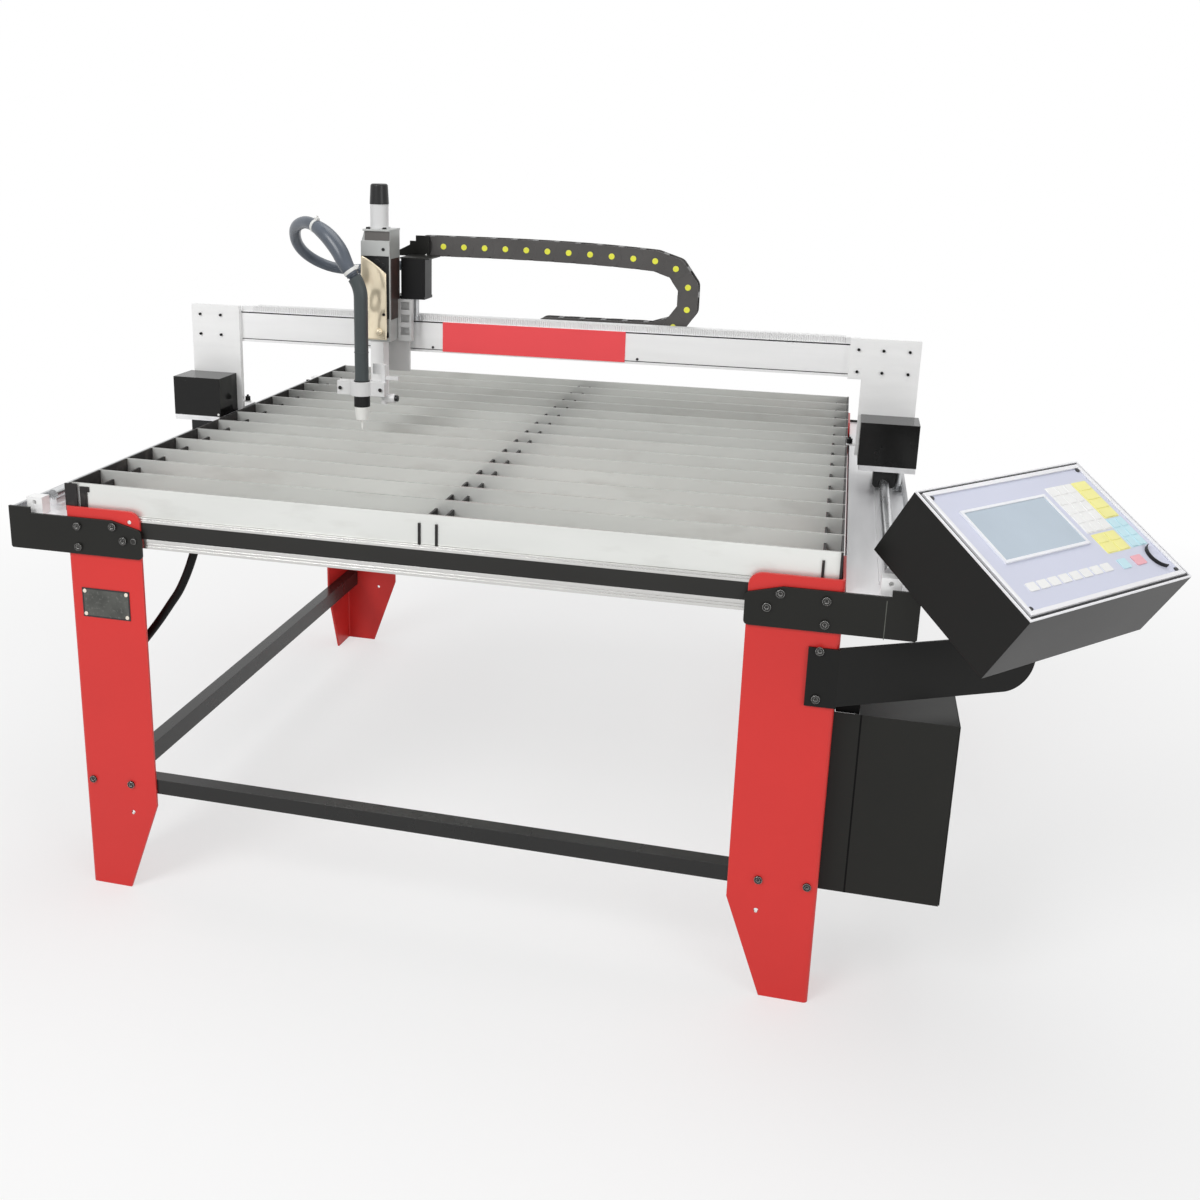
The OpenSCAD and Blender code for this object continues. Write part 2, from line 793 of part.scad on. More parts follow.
module control_arm() place() color([0.12, 0.12, 0.12]) {
  block(leg_x - 49, arm_x, -arm_t, 0, arm_z - 4, arm_z + arm_h - 3);
  translate([arm_x, -arm_t, 0]) rotate([0, 0, arm_turn]) along_y(0, arm_t) {
    rect(0, arm_l - arm_r, arm_z, arm_z + arm_h);
    rect(arm_l - arm_r - 1, arm_l, arm_z + arm_r, arm_z + arm_h);
    translate([arm_l - arm_r, arm_z + arm_r]) circle(arm_r);
  }
  // Post from the arm to the plate behind the housing
  difference() {
    translate([arm_x, -arm_t, 0]) rotate([0, 0, arm_turn])
      block(post_s - post_w / 2, post_s + post_w / 2, arm_t, arm_t + 6, arm_z + 20, ctl_z + 100);
    at_panel() block(-ctl_w, 2 * ctl_w, -ctl_w, ctl_d + mount_t - 1, -ctl_h, 2 * ctl_h);
  }
  at_panel() block(mount_at[0] - mount_w / 2, mount_at[0] + mount_w / 2, ctl_d, ctl_d + mount_t,
    mount_at[1] - mount_h / 2, mount_at[1] + mount_h / 2);
}

// Place of the post on the back of the housing, along its width and up its slope
post_top = let (p = arm_point(post_s)) [p[0], p[1], back_height(p)];
post_rel = post_top - [ctl_x, -ctl_fwd, ctl_z];
mount_at = [
  post_rel * [cos(ctl_yaw), sin(ctl_yaw), 0],
  post_rel * [-sin(ctl_yaw) * sin(ctl_tilt), cos(ctl_yaw) * sin(ctl_tilt), cos(ctl_tilt)]
];

// Sheet housing with a folded rim that carries the panel
module control_box() place() color([0.13, 0.13, 0.13]) {
  rim = rim_w + 6;
  at_panel() difference() {
    block(0, ctl_w, 0, ctl_d, 0, ctl_h);
    block(ctl_wall, ctl_w - ctl_wall, ctl_wall, ctl_d - ctl_wall, ctl_wall, ctl_h - ctl_wall);
    block(rim, ctl_w - rim, -1, ctl_wall + 1, rim, ctl_h - rim);
  }
}

panel_t = 2;

module control_panel() place() color("lightsteelblue") {
  at_panel() block(rim_w, ctl_w - rim_w, -panel_t, 0, rim_w, ctl_h - rim_w);
}

module panel_frame() place() color("silver") {
  at_panel() along_y(-rim_t, 0) difference() {
    rect(0, ctl_w, 0, ctl_h);
    rect(rim_w, ctl_w - rim_w, rim_w, ctl_h - rim_w);
  }
}

screen_t = 4;

// Rectangle on the panel face, given as shares of the panel width and height
module panel_pad(u0, u1, v0, v1, t) {
  block(u0 * ctl_w, u1 * ctl_w, -panel_t - t, -panel_t, v0 * ctl_h, v1 * ctl_h);
}

module panel_screen() place() color("slategray") {
  at_panel() difference() {
    panel_pad(0.117, 0.627, 0.383, 0.792, screen_t);
    translate([0, -screen_t + 1.5, 0]) panel_pad(0.136, 0.606, 0.398, 0.778, screen_t);
  }
}

key_t = 1.5;

// Even grid of keys inside a rectangle of the panel
module key_grid(u0, u1, v0, v1, columns, rows) {
  gap = 0.006;
  du = (u1 - u0) / columns;
  dv = (v1 - v0) / rows;
  for (i = [0:columns - 1], j = [0:rows - 1]) {
    panel_pad(u0 + i * du + gap, u0 + (i + 1) * du - gap, v0 + j * dv + gap, v0 + (j + 1) * dv - gap, key_t);
  }
}

module panel_keys() place() color("white") {
  at_panel() {
    key_grid(0.668, 0.836, 0.455, 0.838, 3, 5);
    key_grid(0.840, 0.936, 0.530, 0.838, 1, 4);
    key_grid(0.836, 0.940, 0.290, 0.524, 2, 3);
    key_grid(0.676, 0.826, 0.288, 0.440, 2, 2);
    key_grid(0.115, 0.629, 0.168, 0.238, 8, 1);
    key_grid(0.676, 0.740, 0.158, 0.240, 1, 1);
    key_grid(0.766, 0.840, 0.158, 0.240, 1, 1);
  }
}

pull_r = 24;

module panel_handle() place() color([0.1, 0.1, 0.1]) {
  at_panel() translate([0.932 * ctl_w, -panel_t, 0.19 * ctl_h]) intersection() {
    rotate([90, 0, 0]) difference() {
      cylinder(r = pull_r, h = 6);
      translate([0, 0, -1]) cylinder(r = pull_r - 1.6, h = 8);
    }
    block(-2 * pull_r, -pull_r / 4, -7, 0, -2 * pull_r, 2 * pull_r);
  }
}

// Cabinet

channel_d = 100;

module cabinet_shell() place() color([0.11, 0.11, 0.11]) {
  y1 = cab_y + cab_d;
  z1 = cab_z + cab_h;
  difference() {
    block(cab_x0, cab_x1 - cab_t, cab_y, y1, cab_z, z1);
    block(cab_x0 + cab_t, cab_x1, cab_y + cab_t, y1 - cab_t, cab_z + cab_t, z1 - cab_t);
  }
  // Channel that carries the cabinet on the leg
  difference() {
    block(leg_x, cab_x0, cab_y, cab_y + channel_d, cab_z, z1);
    block(leg_x + cab_t, cab_x0 - cab_t, cab_y + cab_t, cab_y + channel_d + 1, cab_z - 1, z1 + 1);
  }
}

board_t = 3;
board_edge = 20;
supply = [50, 110, 200];
drive = [80, 60, 80];
drive_gap = 12;
rib = 5;

// Mounting board with the power supply and three finned motor drives
module cabinet_gear() place() color("silver") {
  x0 = cab_x0 + cab_t;
  x1 = x0 + board_t;
  y0 = cab_y + board_edge;
  z0 = cab_z + board_edge;
  drive_y = y0 + supply[1] + 2 * board_edge;
  block(x0, x1, y0, cab_y + cab_d - board_edge, z0, cab_z + cab_h - board_edge);
  translate([x1, y0 + board_edge / 2, z0 + board_edge]) difference() {
    cube(supply);
    for (z = [board_edge:2 * rib:supply[2] - board_edge]) {
      block(supply[0] - rib, supply[0] + 1, board_edge, supply[1] - board_edge, z, z + rib);
    }
  }
  for (k = [0:2]) translate([x1, drive_y, z0 + rib + k * (drive[2] + drive_gap)]) difference() {
    cube(drive);
    for (y = [rib:2 * rib:drive[1] - rib]) {
      block(drive[0] - board_edge, drive[0] + 1, y, y + rib, -1, drive[2] + 1);
    }
  }
}

hinge_d = 10;
hinge_x = cab_x1 + hinge_d / 2;
hinge_y = cab_y + cab_d - hinge_d / 2;

module cabinet_door() place() color([0.13, 0.13, 0.13]) {
  block(cab_x1 - cab_t + fit, cab_x1 + fit, cab_y + 1, cab_y + cab_d - 3, cab_z + 1, cab_z + cab_h - 1);
  for (z = [cab_z + 60, cab_z + cab_h - 100]) {
    translate([hinge_x, hinge_y, z]) cylinder(d = hinge_d, h = 40);
    block(cab_x1, hinge_x, hinge_y - hinge_d / 2, hinge_y, z, z + 40);
  }
  translate([cab_x1, cab_y + 22, cab_z + cab_h / 2]) rotate([0, 90, 0]) {
    difference() {
      cylinder(d = 24, h = 8);
      translate([0, 0, 4]) cylinder(d = 9, h = 5, $fn = 3);
    }
  }
}

// Gantry

module gantry_beam_2d() {
  groove_z = gantry_top - 4;
  difference() {
    rect(beam_y, beam_back, beam_z, gantry_top);
    rect(beam_y - 1, beam_y + 1, groove_z, groove_z + 3);
    rect(beam_y - 1, beam_y + 1, beam_z + 5, beam_z + 7);
    rect(beam_y + 4, beam_back - 4, beam_z + 4, beam_z + gantry_h / 2 - 2);
    rect(beam_y + 4, beam_back - 4, beam_z + gantry_h / 2 + 2, gantry_top - 5);
  }
}

module gantry_beam() place() color("gainsboro") {
  along_x(-beam_end, beam_end) gantry_beam_2d();
}

switch_w = 20;
switch_z = slat_top + 16;

module gantry_plates() place() color("whitesmoke") {
  along_y(gantry_y, beam_y) {
    polygon([
      [plate_x0, base_top], [plate_x1, base_top], [plate_x1, plate_top], [wide_x0, plate_top],
      [wide_x0, beam_z - 2], [plate_x0, beam_z - 2]
    ]);
    rect(-plate_x1, -plate_left_x0, base_top, plate_top);
  }
  // Tabs of the limit switches
  for (x = [-plate_left_x0 - 1, plate_x0 - switch_w + 1]) {
    block(x, x + switch_w, gantry_y + 2, gantry_y + 8, switch_z - 4, switch_z);
  }
}

module beam_board() place() color("crimson") {
  z0 = gantry_top - 1 - board_h;
  block(-board_w / 2, board_w / 2, beam_y - 2, beam_y, z0, z0 + board_h);
}

module base_plates() place() color("silver") {
  both_sides() difference() {
    block(cover_x0 + 3, cover_x1 - 1, base_y0, base_y0 + base_l, base_z, base_top);
    translate([pinion_x, motor_y, base_z - 1]) cylinder(d = hub_d + 8, h = base_t + 2);
  }
}

module bearing_block_2d() {
  half = block_w / 2;
  cut = 5;
  difference() {
    polygon([
      [-half, base_z], [half, base_z], [half, block_low + cut], [half - cut, block_low],
      [cut - half, block_low], [-half, block_low + cut]
    ]);
    translate([0, shaft_z]) circle(d = shaft_d + 2 * run_gap);
    rect(-neck_w, neck_w, block_low - 1, shaft_z - shaft_d / 4);
  }
}

module bearing_blocks() place() color([0.1, 0.1, 0.1]) {
  both_sides() for (y = block_y) {
    along_y(y - block_l / 2, y + block_l / 2) translate([shaft_x, 0]) bearing_block_2d();
  }
}

module motor_covers() place() color([0.15, 0.15, 0.15]) {
  both_sides() difference() {
    block(cover_x0, cover_x1, base_y0, gantry_y, base_top, base_top + cover_h);
    block(cover_x0 + cover_wall, cover_x1 - cover_wall, base_y0 + cover_wall, gantry_y + 1,
      base_top - 1, base_top + cover_h - cover_wall);
  }
}

// Square motor standing at the origin with its shaft below
module motor(height) {
  half = motor_w / 2;
  linear_extrude(height) difference() {
    square(motor_w, center = true);
    for (a = [0:90:270]) rotate(a) translate([half, half]) rotate(45) square(6, center = true);
  }
}

module gantry_motors() place() color([0.2, 0.2, 0.2]) {
  both_sides() translate([pinion_x, motor_y, base_top]) motor(motor_h);
}

module cross_rail_2d() {
  waist = 2;
  polygon([
    [0, 0], [xrail_w, 0], [xrail_w, xrail_h / 3], [xrail_w - waist, xrail_h / 2], [xrail_w, xrail_h * 2 / 3],
    [xrail_w, xrail_h], [0, xrail_h], [0, xrail_h * 2 / 3], [waist, xrail_h / 2], [0, xrail_h / 3]
  ]);
}

rail_half = wide_x0 - 10;

module cross_rail() place() color("silver") {
  along_x(-rail_half, rail_half) translate([xrail_y, gantry_top]) cross_rail_2d();
}

module cross_rack() place() color("lightgray") {
  y = xpinion_y + pitch_r;
  translate([xmotor_x, y, gantry_top]) mirror([0, 1, 0]) linear_extrude(rack_h)
    rack_2d(-rail_half - xmotor_x, rail_half - xmotor_x);
}

tray_end = 70;
tray_x0 = lower_end_x - tray_end;
tray_x1 = wide_x0 + tray_end / 2;

module chain_tray() place() color([0.15, 0.15, 0.15]) {
  lip = 14;
  sheet = 2;
  along_x(tray_x0, tray_x1) {
    rect(beam_back, beam_back + sheet, tray_z - 22, tray_z);
    rect(beam_back, chain_y + chain_w + 6, tray_z - sheet, tray_z);
    rect(chain_y + chain_w + 6 - sheet, chain_y + chain_w + 6, tray_z - sheet, tray_z + lip);
  }
  // Foot that holds the fixed end of the chain
  inner = 2 * link_t + 2 * fit;
  along_x(lower_end_x - 44, lower_end_x - 16)
    rect(chain_y + inner, chain_y + chain_w - inner, tray_z - sheet / 2, chain_low_z + 12);
  along_x(lower_end_x - 20, lower_end_x + 12)
    rect(chain_y + inner, chain_y + inner + 3, chain_low_z - 12, chain_low_z + 12);
}

plate_bolts = [22, 74, 124];
plate_bolt_drops = [23, 69];

module gantry_bolts() place() color([0.2, 0.2, 0.2]) {
  for (dz = plate_bolt_drops) {
    for (dx = plate_bolts) bolt_front(plate_x1 - dx, gantry_y, plate_top - dz, screw_head_d);
    for (k = [0, 1]) bolt_front(plate_bolts[k] - plate_x1, gantry_y, plate_top - dz, screw_head_d);
  }
  // Limit switches on their tabs
  for (x = [switch_w - 8 - plate_left_x0, plate_x0 - switch_w + 8]) {
    translate([x, gantry_y + 5, switch_z]) {
      cylinder(d = 12, h = 10);
      cylinder(d = 5, h = 14);
    }
  }
}

// Pinion below its motor, with one tooth towards +X
module pinion(shaft_top) {
  linear_extrude(gear_w) pinion_2d();
  translate([0, 0, gear_w]) cylinder(d = hub_d, h = shaft_top - gear_w);
}

module pinion_right() place() color("silver") {
  translate([pinion_x, motor_y, gear_z]) pinion(base_top - gear_z - fit);
}

module pinion_left() place() color("silver") {
  translate([-pinion_x, motor_y, gear_z]) rotate([0, 0, 180]) pinion(base_top - gear_z - fit);
}

// Carriage

window_w = 20;
window_h = 17;

// Angle plate with risers for the rail blocks and an open bracket beside the lifter
module carriage_plate() place() color("lightgray") {
  foot = lift_z - front_drop;
  side_y0 = xrail_y - xblock_side;
  side_y1 = xrail_y + xrail_w + xblock_side;
  block(car_x0, car_x1, front_y0, side_y1 + 2, car_z, car_top);
  block(car_x0, car_x1, front_y0, front_y1, foot, car_z);
  for (x = xblock_x) block(x, x + xblock_l, side_y0, side_y1, xblock_top, car_z);
  x0 = lift_x + lift_w / 2 + 1;
  x1 = x0 + 31;
  difference() {
    block(x0, x1, front_y0 - 16, front_y0, lift_z - 4, car_top);
    block(x0 + 3, x1 - 3, front_y0 - 13, front_y0 + 1, lift_z - 5, car_top - 3);
    for (k = [0:2]) {
      z = lift_z + 10 + k * 28;
      block(x1 - 5 - window_w, x1 - 5, front_y0 - 17, front_y0 - 12, z, z + window_h);
    }
  }
}

module rail_block_2d() {
  gap = fit;
  difference() {
    rect(xrail_y - xblock_side, xrail_y + xrail_w + xblock_side, gantry_top + 3, xblock_top);
    rect(xrail_y - gap, xrail_y + xrail_w + gap, gantry_top, gantry_top + xrail_h + gap);
  }
}

module rail_blocks() place() color("darkgray") {
  for (x = xblock_x) along_x(x, x + xblock_l) rail_block_2d();
}

// Cross motor on a flange that reaches out from the carriage
module carriage_motor() place() color([0.09, 0.09, 0.09]) {
  half = motor_w / 2;
  difference() {
    union() {
      block(xmotor_x - half, xmotor_x + half, xpinion_y - half, xpinion_y + half, car_top, xmotor_z);
      block(car_x0 + 30, xmotor_x, front_y0 + 2, xpinion_y + half, car_top, xmotor_z);
    }
    translate([xmotor_x, xpinion_y, car_top - 1]) cylinder(d = hub_d + 8, h = flange_t + 2);
  }
  translate([xmotor_x, xpinion_y, xmotor_z]) motor(xmotor_h);
}

module pinion_cross() place() color("silver") {
  low = gantry_top + 1.5;
  translate([xmotor_x, xpinion_y, low]) rotate([0, 0, 90]) pinion(xmotor_z - low - fit);
}

bracket_y = xrail_y + xrail_w + xblock_side - 2;

// Bent sheet on the cross motor that holds the moving end of the chain and the torch hose
module chain_bracket() place() color([0.1, 0.1, 0.1]) {
  inner = 2 * link_t + 2 * fit;
  sheet = 3;
  half = motor_w / 2;
  x0 = upper_end_x - 16;
  x1 = upper_end_x + 16;
  top = upper_end_z + link_h / 2 + 1;
  rear = bracket_y + 4;
  block(xmotor_x - half - 2, xmotor_x + half + 10, xpinion_y - half + 2, rear, shelf_z, shelf_z + sheet);
  along_y(bracket_y, rear) polygon([
    [x0 - 43, shelf_z], [x1, shelf_z], [x1, top], [x0, top], [x0, shelf_z + 32], [x0 - 43, shelf_z + 11]
  ]);
  // Tongue between the sides of the last link
  block(x0 - 18, x0 - 8, bracket_y + 1, chain_y + inner + 1, upper_end_z - 14, upper_end_z - 3);
  block(x0 - 18, x1 - 4, chain_y + inner, chain_y + inner + 3, upper_end_z - 14, upper_end_z + 10);
  // Ring that holds the end of the torch hose
  p = hose_path[len(hose_path) - 1];
  translate(p + [0.2, 0, 0]) rotate([0, 90, 0]) difference() {
    cylinder(d = hose_d + 10, h = 14);
    translate([0, 0, -1]) cylinder(d = hose_d - 6, h = 16);
  }
  block(p[0] + 1, p[0] + 13, p[1] - 3, p[1] + 3, p[2] + hose_d / 2, shelf_z + 1);
  block(p[0] + 1, x0, bracket_y - 8, p[1] + 3, shelf_z, shelf_z + sheet);
}

module lifter_frame() place() color("lightgray") {
  x0 = lift_x - lift_w / 2;
  x1 = lift_x + lift_w / 2;
  block(x0, x1, lift_y1 - 6, lift_y1, lift_z, lift_top);
  for (x = [x0, x1 - side_t]) block(x, x + side_t, lift_y0 + 3, lift_y1, lift_z, lift_top);
  difference() {
    block(x0, x1, lift_y0 + 3, lift_y1, lift_z, lift_z + floor_t);
    translate([lift_x, 0, lift_z - 1]) linear_extrude(floor_t + 2)
      rect(-bar_w / 2 - 0.5, bar_w / 2 + 0.5, bar_y0 - 0.5, bar_y1 + 0.5);
    translate([lift_x, screw_y, lift_z + 2]) cylinder(d = screw_d + 2 * fit, h = floor_t);
  }
  for (s = [-1, 1]) {
    translate([lift_x + s * guide_dx, guide_y, lift_z + 1]) cylinder(d = guide_d, h = lift_h);
  }
  difference() {
    along_y(lift_y0, lift_y1) polygon([
      [x0, lift_top], [x1, lift_top], [x1, head_top - 4], [x0 + 7, head_top - 4], [x0, lift_top + 30]
    ]);
    translate([lift_x, screw_y, lift_top - 1]) cylinder(d = screw_d + 2 * fit, h = 20);
    block(x0 - 1, x1 + 1, lift_y0 - 1, lift_y0 + 4, head_top - 25, head_top);
  }
  block(x0 + 5, x1 + 1, lift_y0 - 1, lift_y1, head_top - 4, head_top);
}

module lifter_cover() place() color("burlywood") {
  x0 = lift_x - lift_w / 2;
  x1 = lift_x + lift_w / 2 - 8;
  block(x0, x1, lift_y0, lift_y0 + 3, lift_z + 4, lift_top);
  translate([lift_x + 8, lift_y0, lift_z + 22]) rotate([90, 0, 0]) cylinder(d = 14, h = 6);
  for (x = [x0 + 6, x1 - 6], z = [lift_z + 60, lift_top - 12]) {
    translate([x, lift_y0, z]) rotate([90, 0, 0]) cylinder(d = screw_head_d, h = 3);
  }
}

lift_motor_y = lift_y0 + lift_d / 2 - 4;

module lifter_motor() place() color("white") {
  translate([lift_x, lift_motor_y, head_top]) {
    cylinder(d = lift_motor_d + 8, h = 4);
    cylinder(d = lift_motor_d, h = lift_motor_h);
  }
}

module lifter_cap() place() color([0.1, 0.1, 0.1]) {
  r = lift_motor_d / 2 + 1;
  round = 5;
  translate([lift_x, lift_motor_y, head_top + lift_motor_h]) rotate_extrude() difference() {
    union() {
      polygon([[0, 0], [r, 0], [r - 2, cap_h - round], [r - 2 - round, cap_h], [0, cap_h]]);
      translate([r - 2 - round, cap_h - round]) circle(round);
    }
    rect(-r, 0, -1, cap_h + 1);
  }
}

module lifter_screw() place() color("silver") {
  translate([lift_x, screw_y, lift_z + 3]) cylinder(d = screw_d, h = lift_h + 8);
}

// Torch

module torch_slide() place() color("gainsboro") {
  wing_z0 = lift_z + floor_t + 10;
  wing_z1 = wing_z0 + 40;
  difference() {
    union() {
      block(lift_x - bar_w / 2, lift_x + bar_w / 2, bar_y0, bar_y1, slide_low, wing_z1);
      block(lift_x - guide_dx - 7, lift_x + guide_dx + 7, guide_y - 8, guide_y + 8, wing_z0, wing_z1);
      block(lift_x - 9, lift_x + 9, bar_y1 - 1, screw_y + screw_d / 2 + 5, wing_z0, wing_z1);
    }
    for (s = [-1, 1]) {
      translate([lift_x + s * guide_dx, guide_y, wing_z0 - 1]) cylinder(d = guide_d + 2 * run_gap, h = 42);
    }
    translate([lift_x, screw_y, wing_z0 - 1]) cylinder(d = screw_d + 2 * run_gap, h = 42);
  }
}

// One jaw of the clamp: half a ring round the torch with an ear on each side
module clamp_jaw_2d(ear) {
  ring_r = head_d / 2 + 7;
  difference() {
    union() {
      intersection() {
        circle(ring_r);
        rect(-ring_r, ring_r, 1, ring_r);
      }
      rect(-clamp_half, clamp_half, 1, ear);
    }
    circle(d = head_d);
  }
}

module torch_clamp() place() color("white") {
  ear = 9;
  post_x = torch_x + 41;
  post_y = torch_y + ear;
  translate([torch_x, torch_y, clamp_z]) {
    linear_extrude(clamp_h) mirror([0, 1]) clamp_jaw_2d(ear);
    linear_extrude(clamp_h) clamp_jaw_2d(ear + 3);
    for (s = [-1, 1]) {
      translate([s * (clamp_half - 8), 2, clamp_h / 2]) rotate([90, 0, 0]) cylinder(d = 7, h = ear + 5);
    }
  }
  // Arm and plate that join the clamp to the slide
  arm_top = clamp_z + 14;
  block(lift_x - 12, lift_x + 12, torch_y + head_d / 2 + 4, bar_y0, clamp_z, arm_top);
  block(lift_x - bar_w / 2, lift_x + bar_w / 2, bar_y0 - 8, bar_y0, slide_low, arm_top);
  // Upright beside the torch with its lever and knob
  block(post_x, post_x + 9, post_y, post_y + 20, clamp_z - 20, clamp_z + 66);
  block(torch_x + torch_d / 2 + 3, post_x + 1, post_y + 12, post_y + 20, clamp_z + 44, clamp_z + 66);
  block(post_x + 8, post_x + 38, post_y + 2, post_y + 10, clamp_z + 34, clamp_z + 42);
  translate([post_x + 8, post_y + 6, clamp_z - 6]) rotate([0, 90, 0]) cylinder(d = 20, h = 22);
}

module torch_tube() place() color([0.28, 0.32, 0.33]) {
  translate([torch_x, torch_y, tube_z]) cylinder(d = torch_d, h = tube_l);
  translate([torch_x, torch_y, tube_z + 60]) cylinder(d = torch_d + 1.5, h = 2);
  // Bend that leads into the hose
  translate([torch_x - boot_r, torch_y, tube_top]) rotate([90, 0, 0])
    rotate_extrude(angle = boot_turn) translate([boot_r, 0]) circle(d = torch_d);
}

module torch_head() place() color([0.1, 0.1, 0.1]) {
  translate([torch_x, torch_y, head_z]) cylinder(d = head_d, h = head_l);
}

module torch_cup() place() color("white") {
  translate([torch_x, torch_y, cup_z]) cylinder(d1 = cup_d, d2 = head_d - 1, h = cup_l);
  translate([torch_x, torch_y, tip_z]) {
    cylinder(d1 = 3, d2 = 5, h = 4);
    translate([0, 0, 4]) cylinder(d = 5, h = tip_l - 4);
  }
}

// Drag chain

link_half = link_h / 2;
link_gap = 0.5;
seam = link_pitch - link_half - link_gap;
bar_x0 = 10;
bar_x1 = 22;

// Outer plate of a link side, hollowed round its first pivot and round at its second
module link_plate_2d() {
  bend = 180 / bend_links + 2;
  difference() {
    union() {
      rect(0, link_pitch, -link_half, link_half);
      translate([link_pitch, 0]) circle(link_half);
    }
    circle(link_half + link_gap);
    // Room for the link before it when the chain bends
    polygon([[0, 0], [0, -link_h], polar(link_h, bend - 90)]);
  }
}

// Inner lap of a link side, behind the outer plate of the link before it
module link_lap_2d() {
  circle(link_half);
  rect(0, seam, -link_half, link_half);
}

// Link from its first pivot on the origin to its second pivot along +X, bending towards -Z
module link() {
  for (side = [0, 1]) translate([0, side * chain_w, 0]) mirror([0, side, 0]) {
    along_y(0, link_t) link_plate_2d();
    along_y(link_t + fit, 2 * link_t) link_lap_2d();
    along_y(link_t - 1, link_t + 1) intersection() {
      link_plate_2d();
      link_lap_2d();
    }
    translate([link_pitch, 0, 0]) rotate([90, 0, 0]) cylinder(d = 13, h = 0.8);
  }
  for (z = [-link_half, link_half - 3]) block(bar_x0, bar_x1, link_t + 1, chain_w - link_t - 1, z, z + 3);
}

module drag_chain() place() color([0.3, 0.29, 0.29]) {
  translate([bend_x, chain_y, chain_low_z]) {
    // Upper run, from the bend towards the carriage
    for (i = [0:upper_links - 1]) translate(run_at(i + 1)) rotate([0, run_angle(i), 0]) link();
    // Bend
    for (i = [0:bend_links - 1]) {
      a = 180 / bend_links * i;
      translate([bend_r * sin(a), 0, bend_r + bend_r * cos(a)]) rotate([0, a + 90 / bend_links, 0]) link();
    }
    // Lower run, from the bend back to the fixed end
    for (i = [0:lower_links - 1]) translate([-i * link_pitch, 0, 0]) rotate([0, 180, 0]) link();
  }
}

// Cords

module torch_hose() place() color([0.35, 0.4, 0.46]) tube(hose_path, hose_d, 12);

module cable() place() color([0.1, 0.1, 0.1]) tube(cable_path, cable_d, 10);

module cable_glands() place() color([0.12, 0.12, 0.12]) {
  p = cable_path[0];
  q = cable_path[len(cable_path) - 1];
  bore = cable_d + 2 * fit;
  gland_d = bore + 9;
  difference() {
    union() {
      translate([p[0], p[1], p[2] - 6]) cylinder(d1 = bore + 5, d2 = gland_d, h = 24);
      block(p[0] - 8, p[0] + 8, beam_in, p[1], p[2] + 2, p[2] + 18);
    }
    translate([p[0], p[1], p[2] - 8]) cylinder(d = bore + 4, h = 8 + fit);
  }
  difference() {
    block(-leg_x + leg_sheet, q[0] + 6, q[1] - 14, q[1] + 14, q[2] - 14, q[2] + 14);
    translate([q[0] - fit, q[1], q[2]]) rotate([0, 90, 0]) cylinder(d = bore + 4, h = 8);
  }
}

leg_front_left();
leg_front_right();
leg_rear_left();
leg_rear_right();
cross_beams();
beam_strips();
tie_bars();
corner_brackets();
side_profiles();
rail_supports();
rail_shafts();
racks();
end_stops();
comb_plates();
comb_bars();
bed_slats();
leg_plate();
table_bolts();
control_arm();
control_box();
control_panel();
panel_frame();
panel_screen();
panel_keys();
panel_handle();
cabinet_shell();
cabinet_gear();
cabinet_door();
cable();
cable_glands();
gantry_beam();
gantry_plates();
beam_board();
base_plates();
bearing_blocks();
motor_covers();
gantry_motors();
cross_rail();
cross_rack();
chain_tray();
gantry_bolts();
pinion_left();
pinion_right();
carriage_plate();
rail_blocks();
carriage_motor();
chain_bracket();
lifter_frame();
lifter_cover();
lifter_motor();
lifter_cap();
pinion_cross();
lifter_screw();
torch_slide();
torch_clamp();
torch_tube();
torch_head();
torch_cup();
drag_chain();
torch_hose();
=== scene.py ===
"""Looks of the cutting table: camera, light, finishes, and the chain, cords, keys and small trim."""

import math

import bmesh
import bpy
from mathutils import Matrix, Vector


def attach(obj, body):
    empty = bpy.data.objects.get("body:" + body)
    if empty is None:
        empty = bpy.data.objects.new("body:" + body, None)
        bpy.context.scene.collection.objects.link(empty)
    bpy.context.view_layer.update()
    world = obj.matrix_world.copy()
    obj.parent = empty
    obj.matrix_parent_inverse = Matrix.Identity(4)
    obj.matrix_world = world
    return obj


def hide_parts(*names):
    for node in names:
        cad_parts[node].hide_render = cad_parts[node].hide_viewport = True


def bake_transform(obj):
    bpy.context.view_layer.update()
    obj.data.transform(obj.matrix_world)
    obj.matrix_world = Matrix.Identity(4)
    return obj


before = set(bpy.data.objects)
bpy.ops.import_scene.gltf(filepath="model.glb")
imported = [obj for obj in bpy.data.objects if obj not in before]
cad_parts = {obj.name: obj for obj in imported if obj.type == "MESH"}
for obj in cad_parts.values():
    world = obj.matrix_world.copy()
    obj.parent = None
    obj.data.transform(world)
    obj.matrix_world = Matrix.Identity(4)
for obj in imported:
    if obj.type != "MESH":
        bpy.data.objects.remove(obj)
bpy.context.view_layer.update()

# Places are millimetres in the table's own frame: zero on the floor, midway between the legs,
# on their front faces. X runs right, Y back and Z up.
ORIGIN = Vector((198.855, 614.109, 0.0))
TABLE = Matrix.Scale(0.001, 4) @ Matrix.Translation(-ORIGIN)


def at(x, y, z):
    """A place in the table's frame, as a point of the row frame."""
    return TABLE @ Vector((x, y, z))


# Camera

YAW, PITCH, ROLL = -0.2493, -0.2715, 0.0183
CAMERA_AT = (658.49, -2005.50, 1443.22)
SENSOR, LENS, SHIFT_X, SHIFT_Y = 36, 38.593, 0.0748, -0.0839

forward = Vector((math.sin(YAW) * math.cos(PITCH), math.cos(YAW) * math.cos(PITCH), math.sin(PITCH)))
level = Vector((math.cos(YAW), -math.sin(YAW), 0))
upright = level.cross(forward)
right = math.cos(ROLL) * level + math.sin(ROLL) * upright
up = math.cos(ROLL) * upright - math.sin(ROLL) * level

